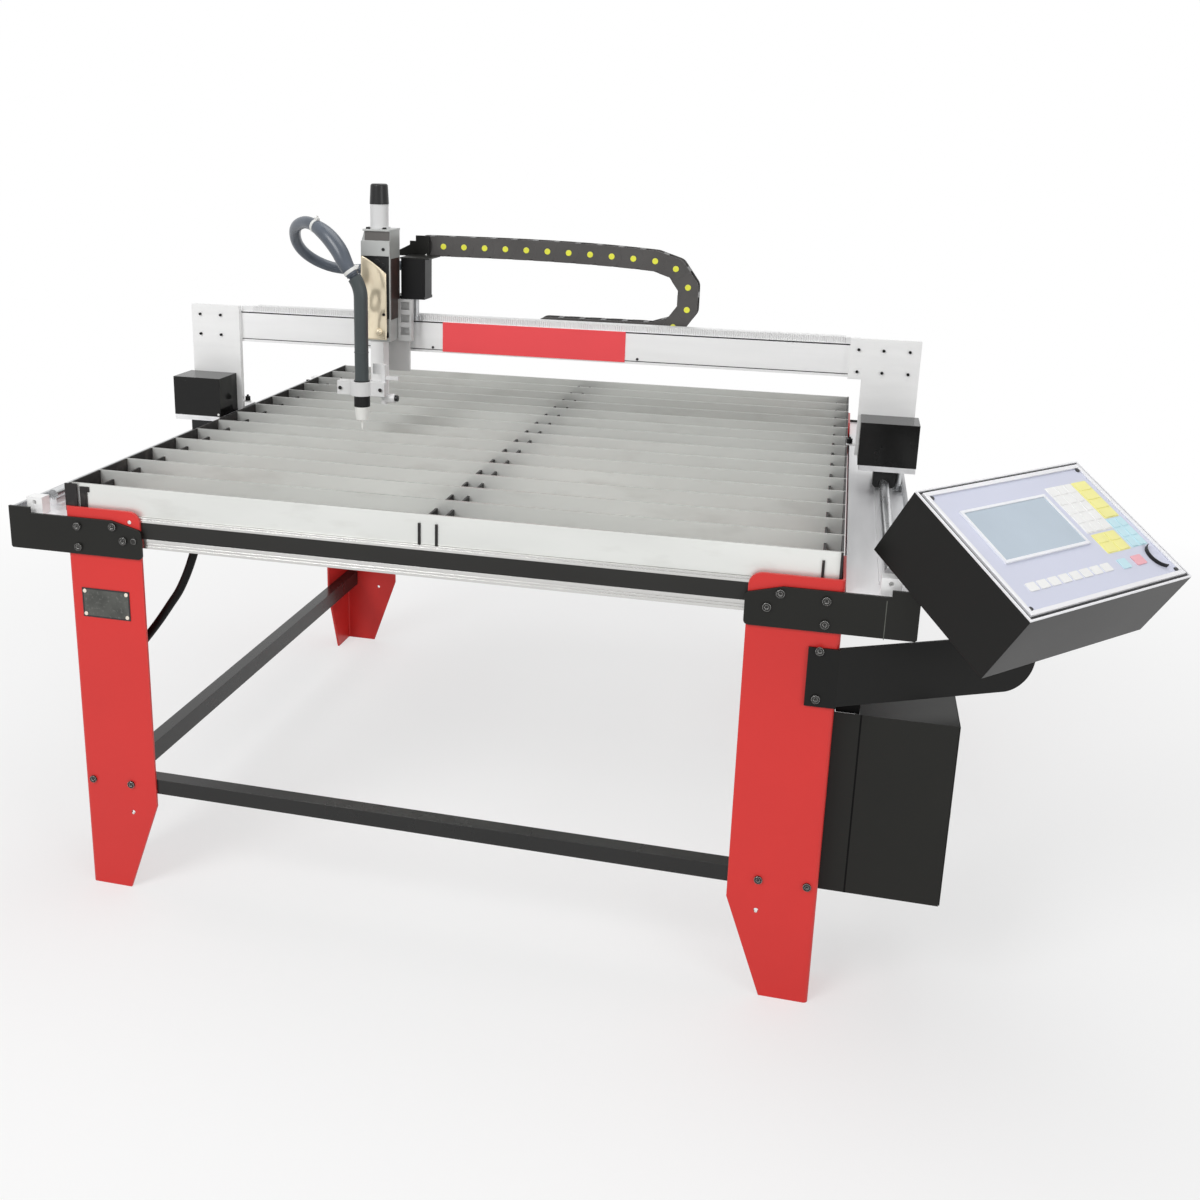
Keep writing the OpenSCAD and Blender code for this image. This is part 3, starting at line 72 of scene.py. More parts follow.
camera = bpy.data.objects.new("camera", bpy.data.cameras.new("camera"))
bpy.context.collection.objects.link(camera)
axes = Matrix((right, up, -forward)).transposed().to_4x4()
camera.matrix_world = Matrix.Translation(at(*CAMERA_AT)) @ axes
camera.data.sensor_width = SENSOR
camera.data.lens = LENS
camera.data.shift_x = SHIFT_X
camera.data.shift_y = SHIFT_Y
camera.data.clip_end = 100
bpy.context.scene.camera = camera
bpy.context.scene.view_settings.view_transform = "Standard"


# Mesh helpers

TO_FRONT, TO_RIGHT, UPWARD = (0, -1, 0), (1, 0, 0), (0, 0, 1)


def new_piece(name, build, materials, body=None, smooth=False):
    """A mesh piece that build(bm) makes, with its finishes and its body."""
    bm = bmesh.new()
    build(bm)
    mesh = bpy.data.meshes.new(name)
    bm.to_mesh(mesh)
    bm.free()
    for material in materials:
        mesh.materials.append(material)
    for face in mesh.polygons:
        face.use_smooth = smooth
    piece = bpy.data.objects.new(name, mesh)
    bpy.context.collection.objects.link(piece)
    if body:
        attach(piece, body)
    return piece


def prism(bm, outline, y0, y1, matrix=TABLE, slot=0, edge=0.0):
    """Extrudes an outline in X and Z from y0 to y1, in millimetres, with its edges rounded by edge."""
    near = [bm.verts.new(matrix @ Vector((x, y0, z))) for x, z in outline]
    far = [bm.verts.new(matrix @ Vector((x, y1, z))) for x, z in outline]
    n = len(outline)
    faces = [bm.faces.new(near), bm.faces.new(far[::-1])]
    faces += [bm.faces.new((near[i], far[i], far[(i + 1) % n], near[(i + 1) % n])) for i in range(n)]
    bmesh.ops.recalc_face_normals(bm, faces=faces)
    for face in faces:
        face.material_index = slot
    if edge:
        edges = list({e for f in faces for e in f.edges})
        bmesh.ops.bevel(bm, geom=edges, offset=edge / 1000, segments=2, affect="EDGES", profile=0.6,
                        material=slot)


def block(bm, x, y, z, matrix=TABLE, slot=0, edge=0.0):
    """A box between two values along each axis."""
    prism(bm, [(x[0], z[0]), (x[1], z[0]), (x[1], z[1]), (x[0], z[1])], y[0], y[1], matrix, slot, edge)


def rim(bm, x, z, width, y, matrix=TABLE, slot=0, edge=0.0):
    """Four bars of one width along the inside of a rectangle."""
    for level_z in ((z[0], z[0] + width), (z[1] - width, z[1])):
        block(bm, x, y, level_z, matrix, slot, edge)
    for side_x in ((x[0], x[0] + width), (x[1] - width, x[1])):
        block(bm, side_x, y, (z[0] + width, z[1] - width), matrix, slot, edge)


def spokes(axis, side, sides):
    """Directions at even angles round an axis, the first of them its side."""
    other = axis.cross(side)
    angles = [2 * math.pi * k / sides for k in range(sides)]
    return [side * math.cos(a) + other * math.sin(a) for a in angles]


def skin(bm, rings):
    """The faces between each ring of points and the next."""
    n = len(rings[0])
    return [bm.faces.new((a[k], a[(k + 1) % n], b[(k + 1) % n], b[k]))
            for a, b in zip(rings, rings[1:]) for k in range(n)]


def disc(bm, centre, axis, radius, height, matrix=TABLE, slot=0, sides=20, dome=0.3):
    """A round head that stands on centre and points along axis, with a softened rim."""
    axis = Vector(axis).normalized()
    around = spokes(axis, axis.orthogonal().normalized(), sides)
    rings = []
    for r, h in ((radius, 0), (radius, height * (1 - dome)), (radius * (1 - dome / 2), height)):
        rings.append([bm.verts.new(matrix @ (Vector(centre) + axis * h + spoke * r)) for spoke in around])
    faces = [bm.faces.new(rings[0][::-1]), bm.faces.new(rings[-1])] + skin(bm, rings)
    bmesh.ops.recalc_face_normals(bm, faces=faces)
    for face in faces:
        face.material_index = slot


def arc(centre, radius, start, end, steps):
    """Points of an arc in X and Z, between two angles in degrees."""
    angles = [math.radians(start + (end - start) * k / steps) for k in range(steps + 1)]
    return [(centre[0] + radius * math.cos(a), centre[1] + radius * math.sin(a)) for a in angles]


def smooth_route(points, per_span=6):
    """Points of a smooth curve through a route."""
    p = [Vector(q) for q in points]
    p = [2 * p[0] - p[1]] + p + [2 * p[-1] - p[-2]]
    out = []
    for a, b, c, d in zip(p, p[1:], p[2:], p[3:]):
        for k in range(per_span):
            t = k / per_span
            out.append(0.5 * (2 * b + (c - a) * t + (2 * a - 5 * b + 4 * c - d) * t * t
                              + (3 * b - 3 * c + d - a) * t ** 3))
    return out + [p[-2]]


def loft(bm, route, radii, sides=20, closed_ends=True):
    """A round skin along a route, with its own radius at each point."""
    side = None
    rings = []
    for i, (q, radius) in enumerate(zip(route, radii)):
        run = (route[min(i + 1, len(route) - 1)] - route[max(i - 1, 0)]).normalized()
        side = run.orthogonal() if side is None else side - run * side.dot(run)
        side.normalize()
        rings.append([bm.verts.new(q + radius * spoke) for spoke in spokes(run, side, sides)])
    faces = skin(bm, rings)
    if closed_ends:
        faces += [bm.faces.new(rings[0][::-1]), bm.faces.new(rings[-1])]
    bmesh.ops.recalc_face_normals(bm, faces=faces)


def corners_of(x, y, z, inset):
    """Places at the four corners of an upright rectangle, set in from its sides."""
    return [(cx, y, cz) for cx in (x[0] + inset, x[1] - inset) for cz in (z[0] + inset, z[1] - inset)]


def heads(name, places, radius, height, material, body, matrix=TABLE):
    """A piece of round heads of one size, which stand on the given places and point to the front."""
    def build(bm):
        for place in places:
            disc(bm, place, TO_FRONT, radius, height, matrix)
    return new_piece(name, build, [material], body)


def boxes(name, places, material, body, edge=0.0):
    """A piece of boxes, each given by two values along X, Y and Z."""
    def build(bm):
        for x, y, z in places:
            block(bm, x, y, z, edge=edge)
    return new_piece(name, build, [material], body)


# Finishes

# Where a change of colour starts and ends: in the noise of clouds and spots, in the turn of a face upwards
# (painted shade), and in the turn of the surface at an edge (rubbed paint and painted highlight)
CLOUD_SPAN, SPOT_SPAN, TOP_SHADE_SPAN, EDGE_WEAR_AND_HIGHLIGHT_SPAN = (0.3, 0.7), (0.55, 0.75), (0.6, 0.9), (0.985, 0.80)
CLOUD_DETAIL, SPOT_DETAIL, GRAIN_DETAIL = 6, 8, 3
SPOT_SCALE, GRAIN_DEPTH, LEAST_ROUGH, EDGE_SAMPLES = 3.7, 0.001, 0.03, 4


def surface(name, colour, rough, metal=0.0, specular=0.5, tint=0.08, patch=6.0, spread=0.08,
            grain=350.0, bump=0.04, stretch=(1, 1, 1), edge=0.0, edge_wear_and_highlight=None, stain=None, top=None):
    """A finish with cloudy colour, uneven gloss and a fine grain.

    edge softens the edges by that radius in metres. The three colours after it are each a colour and an
    amount:
    for edges, partly rubbed paint and partly painted highlight; for spots; and for faces that look up, as
    painted shade.
    """
    material = bpy.data.materials.new(name)
    material.use_nodes = True
    tree = material.node_tree
    shader = tree.nodes["Principled BSDF"]
    shader.inputs["Metallic"].default_value = metal
    shader.inputs["Specular IOR Level"].default_value = specular

    def node(kind, values=(), **links):
        """A new node with values by socket number or name, linked to the given outputs."""
        made = tree.nodes.new(kind)
        for key, value in dict(values).items():
            made.inputs[key].default_value = value
        for key, source in links.items():
            tree.links.new(source, made.inputs[key])
        return made

    def noise(scale, detail):
        values = {"Scale": scale, "Detail": detail}
        return node("ShaderNodeTexNoise", values, Vector=mapping.outputs["Vector"])

    def ramped(value, span, amount):
        """Grows from 0 to the amount as a value goes through a span."""
        values = {"From Min": span[0], "From Max": span[1], "To Max": amount}
        return node("ShaderNodeMapRange", values, Value=value).outputs["Result"]

    def blended(share, first, second):
        """The first colour changed towards the second by a share."""
        mix = tree.nodes.new("ShaderNodeMix")
        mix.data_type = "RGBA"
        tree.links.new(share, mix.inputs[0])
        tree.links.new(first, mix.inputs[6])
        mix.inputs[7].default_value = (*second, 1)
        return mix.outputs[2]

    place = tree.nodes.new("ShaderNodeTexCoord")
    mapping = node("ShaderNodeMapping", {"Scale": stretch}, Vector=place.outputs["Object"])
    cloud = noise(patch, CLOUD_DETAIL)
    ramp = node("ShaderNodeValToRGB", Fac=cloud.outputs["Fac"])
    dark, light = ramp.color_ramp.elements
    dark.position, light.position = CLOUD_SPAN
    dark.color = (*[c * (1 - tint) for c in colour], 1)
    light.color = (*[min(1, c * (1 + tint)) for c in colour], 1)
    shown = ramp.outputs["Color"]

    if stain:
        spots = noise(patch * SPOT_SCALE, SPOT_DETAIL)
        shown = blended(ramped(spots.outputs["Fac"], SPOT_SPAN, stain[1]), shown, stain[0])

    # Faces that look up turn towards the top colour: painted shade
    if top:
        geometry = tree.nodes.new("ShaderNodeNewGeometry")
        facing = node("ShaderNodeSeparateXYZ", Vector=geometry.outputs["Normal"])
        shown = blended(ramped(facing.outputs["Z"], TOP_SHADE_SPAN, top[1]), shown, top[0])

    fine = noise(grain, GRAIN_DETAIL)
    relief = node("ShaderNodeBump", {"Strength": bump, "Distance": GRAIN_DEPTH}, Height=fine.outputs["Fac"])
    if edge:
        soft = node("ShaderNodeBevel", {"Radius": edge})
        soft.samples = EDGE_SAMPLES
        tree.links.new(soft.outputs["Normal"], relief.inputs["Normal"])
        # Edges turn towards the edge colour: partly rubbed paint, partly painted highlight
        if edge_wear_and_highlight:
            flat = tree.nodes.new("ShaderNodeNewGeometry")
            turn = tree.nodes.new("ShaderNodeVectorMath")
            turn.operation = "DOT_PRODUCT"
            tree.links.new(soft.outputs["Normal"], turn.inputs[0])
            tree.links.new(flat.outputs["Normal"], turn.inputs[1])
            shown = blended(ramped(turn.outputs["Value"], EDGE_WEAR_AND_HIGHLIGHT_SPAN, edge_wear_and_highlight[1]), shown, edge_wear_and_highlight[0])
    tree.links.new(shown, shader.inputs["Base Color"])
    tree.links.new(relief.outputs["Normal"], shader.inputs["Normal"])
    rough_span = {"To Min": max(LEAST_ROUGH, rough - spread), "To Max": min(1, rough + spread)}
    gloss = node("ShaderNodeMapRange", rough_span, Value=cloud.outputs["Fac"])
    tree.links.new(gloss.outputs["Result"], shader.inputs["Roughness"])
    return material


# Grain that runs along one axis
ALONG_X, ALONG_Y = (1, 12, 12), (12, 1, 12)

# On the red and black coats below, the paler edges are partly rubbed paint and partly painted highlight
red = surface("red_coat", (0.68, 0.034, 0.030), 0.34, specular=0.35, tint=0.05, patch=2.5, grain=900,
              bump=0.05, edge=0.002, edge_wear_and_highlight=((0.86, 0.22, 0.19), 0.45))
black = surface("black_coat", (0.0115, 0.0115, 0.0098), 0.42, specular=0.24, tint=0.14, patch=4,
                grain=900, bump=0.08, edge=0.0014, edge_wear_and_highlight=((0.07, 0.07, 0.066), 0.5))
arm_black = surface("arm_coat", (0.009, 0.009, 0.0085), 0.46, specular=0.18, tint=0.14, patch=4,
                    grain=900, bump=0.08, edge=0.0014, edge_wear_and_highlight=((0.06, 0.06, 0.058), 0.5))
housing = surface("housing_coat", (0.010, 0.010, 0.0093), 0.34, specular=0.19, tint=0.1, patch=3,
                  grain=1100, bump=0.06, edge=0.0016, edge_wear_and_highlight=((0.08, 0.08, 0.076), 0.4))
bar_black = surface("bar_coat", (0.012, 0.012, 0.0115), 0.28, specular=0.4, tint=0.14, patch=5, grain=900,
                    bump=0.06, edge=0.0014, edge_wear_and_highlight=((0.07, 0.07, 0.066), 0.4))
black_strip = surface("black_strip", (0.018, 0.0175, 0.016), 0.5, specular=0.3, tint=0.1, grain=500,
                      bump=0.05)
comb = surface("comb_black", (0.018, 0.016, 0.016), 0.55, specular=0.3, tint=0.25, patch=9, grain=300,
               bump=0.1, stain=((0.13, 0.115, 0.105), 0.4))
alu = surface("anodised", (0.62, 0.615, 0.60), 0.24, metal=0.85, tint=0.02, patch=3, grain=200,
              bump=0.008, stretch=ALONG_X, edge=0.001)
beam_alu = surface("beam_anodised", (0.93, 0.93, 0.93), 0.36, metal=0.25, tint=0.02, patch=4, grain=260,
                   bump=0.03, stretch=ALONG_X, edge=0.001)
# Paler than the anodised beams, partly as painted light against the shade the side profiles sit in
alu_y = surface("anodised_rail", (0.84, 0.84, 0.85), 0.34, metal=0.4, tint=0.04, patch=5, grain=260,
                bump=0.03, stretch=ALONG_Y, edge=0.001)
# The dark colour on faces that look up is painted shade
slat = surface("slat_steel", (0.76, 0.77, 0.745), 0.36, metal=0.45, tint=0.06, patch=2.2, grain=200,
               bump=0.05, stretch=(1, 1, 3), spread=0.1, stain=((0.52, 0.51, 0.48), 0.35),
               top=((0.30, 0.30, 0.28), 0.75))
steel = surface("ground_steel", (0.62, 0.63, 0.64), 0.28, metal=0.95, tint=0.06, patch=9, grain=300,
                bump=0.03, stretch=ALONG_Y)
# The pale rims of the bolt heads are a painted highlight
bolt_steel = surface("bolt_steel", (0.022, 0.021, 0.019), 0.18, metal=0.3, tint=0.2, patch=40, grain=900,
                     bump=0.05, edge=0.0016, edge_wear_and_highlight=((0.80, 0.79, 0.77), 0.75))
gear_steel = surface("gear_steel", (0.52, 0.53, 0.54), 0.32, metal=0.95, tint=0.1, patch=20, grain=500,
                     bump=0.05)
rack_pale = surface("rack_pale", (0.84, 0.84, 0.84), 0.4, metal=0.2, tint=0.03, patch=9, grain=400,
                    bump=0.03)
plate = surface("machined_plate", (0.93, 0.93, 0.925), 0.42, metal=0.1, tint=0.03, patch=7, grain=420,
                bump=0.04, stretch=(1, 1, 5), edge=0.0015)
carriage_metal = surface("carriage_metal", (0.62, 0.62, 0.615), 0.40, metal=0.4, tint=0.05, patch=8,
                         grain=420, bump=0.04, edge=0.0012)
frame_metal = surface("lifter_metal", (0.50, 0.51, 0.50), 0.38, metal=0.4, tint=0.05, patch=12, grain=500,
                      bump=0.04, edge=0.001)
# Its paler edges are partly rubbed paint and partly painted highlight
cover_black = surface("cover_coat", (0.0075, 0.0075, 0.0072), 0.16, specular=0.27, tint=0.15, patch=5,
                      spread=0.05, grain=800, bump=0.03, edge=0.0015, edge_wear_and_highlight=((0.05, 0.05, 0.048), 0.4))
motor = surface("motor_black", (0.006, 0.006, 0.0065), 0.38, specular=0.2, tint=0.15, patch=14, grain=700,
                bump=0.06, edge=0.001)
board = surface("red_board", (0.94, 0.080, 0.092), 0.24, specular=0.4, tint=0.03, patch=3, grain=800,
                bump=0.02)
gold = surface("gold_cover", (0.95, 0.83, 0.62), 0.2, metal=0.4, tint=0.06, patch=10, spread=0.06,
               grain=120, bump=0.10, stretch=(1, 1, 0.5), stain=((0.58, 0.40, 0.22), 0.4))
white = surface("white_plastic", (0.76, 0.76, 0.76), 0.32, tint=0.03, patch=10, grain=600, bump=0.03,
                edge=0.001)
# Whiter than the white plastic, partly as painted light against the shade the cup sits in
cup_white = surface("cup_white", (0.95, 0.95, 0.92), 0.30, tint=0.02, patch=10, grain=600, bump=0.03,
                    edge=0.001)
plastic = surface("black_plastic", (0.010, 0.010, 0.0105), 0.32, specular=0.35, tint=0.15, patch=12,
                  grain=700, bump=0.05, edge=0.001)
band_shade_grey = surface("band_shade_grey", (0.125, 0.118, 0.112), 0.5, tint=0.08, patch=16, grain=600, bump=0.04)
seam_black = surface("seam_black", (0.004, 0.004, 0.004), 0.6, specular=0.08, tint=0.2, patch=10,
                     grain=500, bump=0.04)
edge_highlight_grey = surface("edge_highlight_grey", (0.12, 0.125, 0.11), 0.5, specular=0.3, tint=0.3, patch=30, grain=500,
                    bump=0.03)
brown_and_shade = surface("brown_and_shade_sheet", (0.030, 0.016, 0.013), 0.5, tint=0.3, patch=30, grain=500, bump=0.06,
                stain=((0.10, 0.028, 0.02), 0.6))
chain_grey = surface("chain_grey", (0.092, 0.088, 0.086), 0.48, specular=0.25, tint=0.1, patch=14,
                     grain=600, bump=0.06)
chain_black = surface("chain_black", (0.012, 0.012, 0.012), 0.35, specular=0.4, tint=0.15, patch=14,
                      grain=600, bump=0.06)
yellow = surface("yellow_dot", (0.86, 0.86, 0.07), 0.4, tint=0.05, patch=30, grain=600, bump=0.03)
hose_mat = surface("hose_rubber", (0.088, 0.105, 0.132), 0.30, specular=0.55, tint=0.16, patch=22,
                   grain=260, bump=0.10)
cable_mat = surface("cable_rubber", (0.006, 0.006, 0.006), 0.5, specular=0.14, tint=0.12, patch=14,
                    grain=600, bump=0.08)
tie_mat = surface("tie_white", (0.78, 0.78, 0.76), 0.4, tint=0.04, patch=20, grain=500, bump=0.03)
torch_grey = surface("torch_grey", (0.056, 0.068, 0.070), 0.42, specular=0.4, tint=0.08, patch=14,
                     grain=600, bump=0.05)
panel_mat = surface("panel_lilac", (0.66, 0.68, 0.80), 0.52, specular=0.25, tint=0.03, patch=3, grain=900,
                    bump=0.02)
glass = surface("screen_grey", (0.50, 0.58, 0.66), 0.22, specular=0.3, tint=0.12, patch=3, grain=300,
                bump=0.0)
bezel = surface("bezel_white", (0.88, 0.89, 0.92), 0.5, specular=0.25, tint=0.03, patch=12, grain=600,
                bump=0.02)
frame_bright = surface("frame_bright", (0.86, 0.86, 0.88), 0.40, metal=0.3, specular=0.25, tint=0.03,
                       patch=6, grain=300, bump=0.004)
# Dark trim for screws and borders, also used as painted shade in the panel's gap and the beam's grooves
dark_trim_and_shade = surface("dark_trim_and_shade_finish", (0.016, 0.016, 0.018), 0.5, tint=0.1, patch=20, grain=600, bump=0.04)
key_white = surface("key_white", (0.88, 0.88, 0.87), 0.5, specular=0.25, tint=0.03, patch=20, grain=700,
                    bump=0.03)
key_yellow = surface("key_yellow", (0.90, 0.86, 0.36), 0.5, specular=0.25, tint=0.04, patch=20, grain=700,
                     bump=0.03)
key_cyan = surface("key_cyan", (0.58, 0.80, 0.87), 0.5, specular=0.25, tint=0.04, patch=20, grain=700,
                   bump=0.03)
key_pink = surface("key_pink", (0.87, 0.46, 0.51), 0.5, specular=0.25, tint=0.04, patch=20, grain=700,
                   bump=0.03)
badge = surface("bare_plate", (0.085, 0.088, 0.080), 0.34, metal=0.4, tint=0.25, patch=40, grain=500,
                bump=0.06, stain=((0.22, 0.22, 0.205), 0.6))
rivet = surface("rivet_pale", (0.86, 0.79, 0.68), 0.30, metal=0.5, tint=0.05, patch=30, grain=500,
                bump=0.03)
pale_metal = surface("pale_metal", (0.72, 0.72, 0.70), 0.28, metal=0.7, tint=0.06, patch=20, grain=500,
                     bump=0.03)

looks = {
    red: "leg_front_left leg_front_right leg_rear_left leg_rear_right",
    black: "corner_brackets cabinet_shell chain_tray chain_bracket",
    bar_black: "tie_bars",
    arm_black: "control_arm",
    housing: "control_box",
    black_strip: "beam_strips",
    comb: "comb_plates comb_bars",
    alu: "cross_beams cabinet_gear",
    beam_alu: "gantry_beam",
    alu_y: "side_profiles rail_supports base_plates",
    slat: "bed_slats",
    steel: "rail_shafts rail_blocks lifter_screw",
    rack_pale: "cross_rail cross_rack",
    bolt_steel: "table_bolts",
    gear_steel: "racks pinion_left pinion_right pinion_cross",
    plate: "gantry_plates torch_slide end_stops",
    carriage_metal: "carriage_plate",
    frame_metal: "lifter_frame",
    cover_black: "motor_covers",
    motor: "gantry_motors carriage_motor gantry_bolts",
    board: "beam_board",
    white: "lifter_motor torch_clamp",
    cup_white: "torch_cup",
    plastic: "bearing_blocks lifter_cap torch_head panel_handle cable_glands",
    torch_grey: "torch_tube",
    panel_mat: "control_panel",
    badge: "leg_plate",
}
for material, names in looks.items():
    for name in names.split():
        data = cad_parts[name].data
        data.materials.clear()
        data.materials.append(material)


# Torch hose and hanging cable

HOSE_D, CABLE_D = 22, 16
HOSE = [
    (-352, 585, 1158.5), (-370, 585, 1183), (-389, 591, 1214), (-417, 600, 1242), (-450, 616, 1260),
    (-483, 640, 1266), (-514, 668, 1258), (-535, 698, 1241), (-545, 731, 1214), (-539, 761, 1189),
    (-518, 788, 1168), (-488, 807, 1155), (-452, 817, 1151), (-413, 818, 1155), (-375, 813, 1160),
    (-338, 810, 1165), (-305, 810, 1165),
]
hose_route = smooth_route([at(*p) for p in HOSE])


def round_cord(name, route, diameter, material, body=None):
    """A round cord along a route, with its diameter in millimetres."""
    def build(bm):
        loft(bm, route, [diameter / 2000] * len(route))
    return new_piece(name, build, [material], body, smooth=True)


hose = round_cord("torch_hose_look", hose_route, HOSE_D, hose_mat)

# A loose sleeve over the hose: full between its two ties, and slim round the loop behind them.
# Ties and end are counted in points of the route.
BOOT_TIE, UPPER_TIE, SLEEVE_END = 3, 24, 72
SLEEVE_R, SLEEVE_BULGE, SLEEVE_SLIM = 13.5, 5.0, 11.6


def sleeve_radius(index):
    """Radius of the sleeve at a point of the hose, in metres."""
    if index <= UPPER_TIE:
        share = max(0, index - BOOT_TIE) / (UPPER_TIE - BOOT_TIE)
        return (SLEEVE_R + SLEEVE_BULGE * math.sin(math.pi * share) ** 0.7) / 1000
    share = (index - UPPER_TIE) / (SLEEVE_END - UPPER_TIE)
    return (SLEEVE_R + (SLEEVE_SLIM - SLEEVE_R) * share) / 1000


def build_sleeve(bm):
    inside = range(1, SLEEVE_END + 1)
    loft(bm, [hose_route[i] for i in inside], [sleeve_radius(i) for i in inside], sides=28)


sleeve = new_piece("hose_sleeve", build_sleeve, [hose_mat], smooth=True)

TIE_W, TIE_T, TIE_LIP = 7, 1.8, 0.4
TIE_HEAD = ((-4, 4), (-4.5, 4.5), (-0.8, 4))
TIE_TAIL = ((-1.2, 1.2), (-2, 2), (3.5, 9))


def hose_tie(name, index):
    """A flat tie round the sleeve, with its head and its cut tail on the upper side."""
    q = hose_route[index]
    run = (hose_route[index + 1] - hose_route[index]).normalized()
    sideways = run.cross(Vector(UPWARD)).normalized()
    over = sideways.cross(run)
    lip, half = TIE_LIP / 1000, TIE_W / 2000
    inner = sleeve_radius(index) - lip
    outer = inner + TIE_T / 1000

    def build(bm):
        band = [q + run * s for s in (-half - lip, -half, half, half + lip)]
        loft(bm, band, [inner, outer, outer, inner], sides=24, closed_ends=False)
        place = Matrix.Translation(q + over * outer) @ Matrix((sideways, run, over)).transposed().to_4x4()
        head = place @ Matrix.Scale(0.001, 4)
        block(bm, *TIE_HEAD, head, edge=0.6)
        block(bm, *TIE_TAIL, head, edge=0.4)
    return new_piece(name, build, [tie_mat])


on_hose = [sleeve, hose_tie("hose_tie_boot", BOOT_TIE), hose_tie("hose_tie_upper", UPPER_TIE)]
for piece in [hose] + on_hose:
    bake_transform(piece)
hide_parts("torch_hose")

CABLE = [
    (-461, 49, 741), (-461, 49, 724), (-466, 49, 704), (-473, 50, 685), (-482, 52, 664), (-493, 54, 641),
    (-508, 56, 614), (-528, 58, 586), (-555, 61, 549), (-583, 64, 514), (-605, 68, 489), (-629, 71, 471),
    (-654, 73, 462), (-681, 73, 462),
]
cable_route = smooth_route([at(*p) for p in CABLE])

cable = round_cord("cable_look", cable_route, CABLE_D, cable_mat, "table")
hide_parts("cable")


# Drag chain

LINK, LINK_H, CHAIN_W, SIDE_T, FIT, GAP = 48.0, 44.0, 40.0, 3.0, 0.3, 0.15
BEND, UPPER, LOWER = 5, 11, 5
BAR_X, BAR_T, PIN_R, PIN_T = (10, 22), 3, 6.5, 0.9
SEAT_STEPS, ROUND_STEPS, LAP_STEPS = 10, 14, 12
# How far touching forms of a link run into each other
SUNK = 0.2
BEND_X, CHAIN_Y, LOW_Z, RISE = 257.0, 805.0, 1043.0, 4.2
HALF = LINK_H / 2
SEAM = LINK - HALF - GAP
BEND_R = LINK / 2 / math.sin(math.pi / 2 / BEND)
HOLLOW = HALF + GAP
# Angle where the hollow of a plate ends below, so that a link turns by a step of the bend and some more
SPARE = 2
RELIEF = 180 / BEND + SPARE - 90

link_plate = arc((0, 0), HOLLOW, RELIEF, math.degrees(math.asin(HALF / HOLLOW)), SEAT_STEPS)
link_plate += arc((LINK, 0), HALF, 90, -90, ROUND_STEPS)
link_plate += [(HALF / math.tan(math.radians(-RELIEF)), -HALF)]
link_lap = arc((0, 0), HALF, 90, 270, LAP_STEPS) + [(SEAM, -HALF), (SEAM, HALF)]
link_web = link_plate[:SEAT_STEPS + 1] + [(SEAM, HALF), (SEAM, -HALF), link_plate[-1]]


def link(bm, matrix):
    """One link from its first pivot to its second, bending towards its own -Z."""
    for near, inward in ((0, 1), (CHAIN_W, -1)):
        prism(bm, link_plate, near, near + inward * SIDE_T, matrix)
        prism(bm, link_lap, near + inward * (SIDE_T + FIT), near + inward * 2 * SIDE_T, matrix)
        web_y = [near + inward * depth for depth in (SIDE_T - SUNK, SIDE_T + FIT + SUNK)]
        prism(bm, link_web, *web_y, matrix)
    bar_y = (2 * SIDE_T - SUNK, CHAIN_W - 2 * SIDE_T + SUNK)
    for z in (-HALF, HALF - BAR_T):
        block(bm, BAR_X, bar_y, (z, z + BAR_T), matrix, slot=1, edge=0.6)


def pins(bm, matrix):
    """The round pin ends on both sides of a link's second pivot."""
    for near, outward in ((0, -1), (CHAIN_W, 1)):
        disc(bm, (LINK, near, 0), (0, outward, 0), PIN_R, PIN_T, matrix, slot=2)


def turned(angle):
    """A turn about Y, in degrees."""
    return Matrix.Rotation(math.radians(angle), 4, "Y")


chain_base = Matrix.Translation(at(BEND_X, CHAIN_Y, LOW_Z)) @ Matrix.Scale(0.001, 4)


def chain_piece(name, places, forms):
    """One piece of the chain, with the given forms at each place, counted from the end of the bend."""
    def build(bm):
        for place in places:
            for form in forms:
                form(bm, chain_base @ place)
    piece = new_piece(name, build, [chain_grey, chain_black, yellow])
    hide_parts("drag_chain")
    return piece


def share_at(piece):
    """Bakes the place of a piece into its mesh, where it stays."""
    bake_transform(piece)


# The links of the bend, at even steps round a half circle.
STEP = 180 / BEND
bend_places = []
for i in range(BEND):
    angle = math.radians(i * STEP)
    corner = Matrix.Translation((BEND_R * math.sin(angle), 0, BEND_R * (1 + math.cos(angle))))
    bend_places.append(corner @ turned((i + 0.5) * STEP))
share_at(chain_piece("chain_bend", bend_places, (link, pins)))

# The upper run leaves the bend a little upwards and levels out towards the carriage
pivot = Vector((0, 0, 2 * BEND_R))
for i in range(UPPER):
    slope = RISE * (1 - i / (UPPER - 1)) ** 2
    pivot = pivot + LINK * Vector((-math.cos(math.radians(slope)), 0, math.sin(math.radians(slope))))
    piece = chain_piece(f"chain_upper_{i + 1}", [Matrix.Translation(pivot) @ turned(slope)], (link, pins))
    if i == UPPER - 1:
        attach(piece, "carriage")
    else:
        share_at(piece)

lower_places = [Matrix.Translation((-i * LINK, 0, 0)) @ turned(180) for i in range(LOWER)]
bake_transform(chain_piece("chain_lower", lower_places, (link,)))
for i, place in enumerate(lower_places):
    piece = chain_piece(f"chain_pins_{i + 1}", [place], (pins,))
    way = (LOWER - 1 - i) / LOWER / 2
    if way:
        share_at(piece)
    else:
        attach(piece, "gantry")


# Control panel: screen, keys and trim, in the panel's own frame

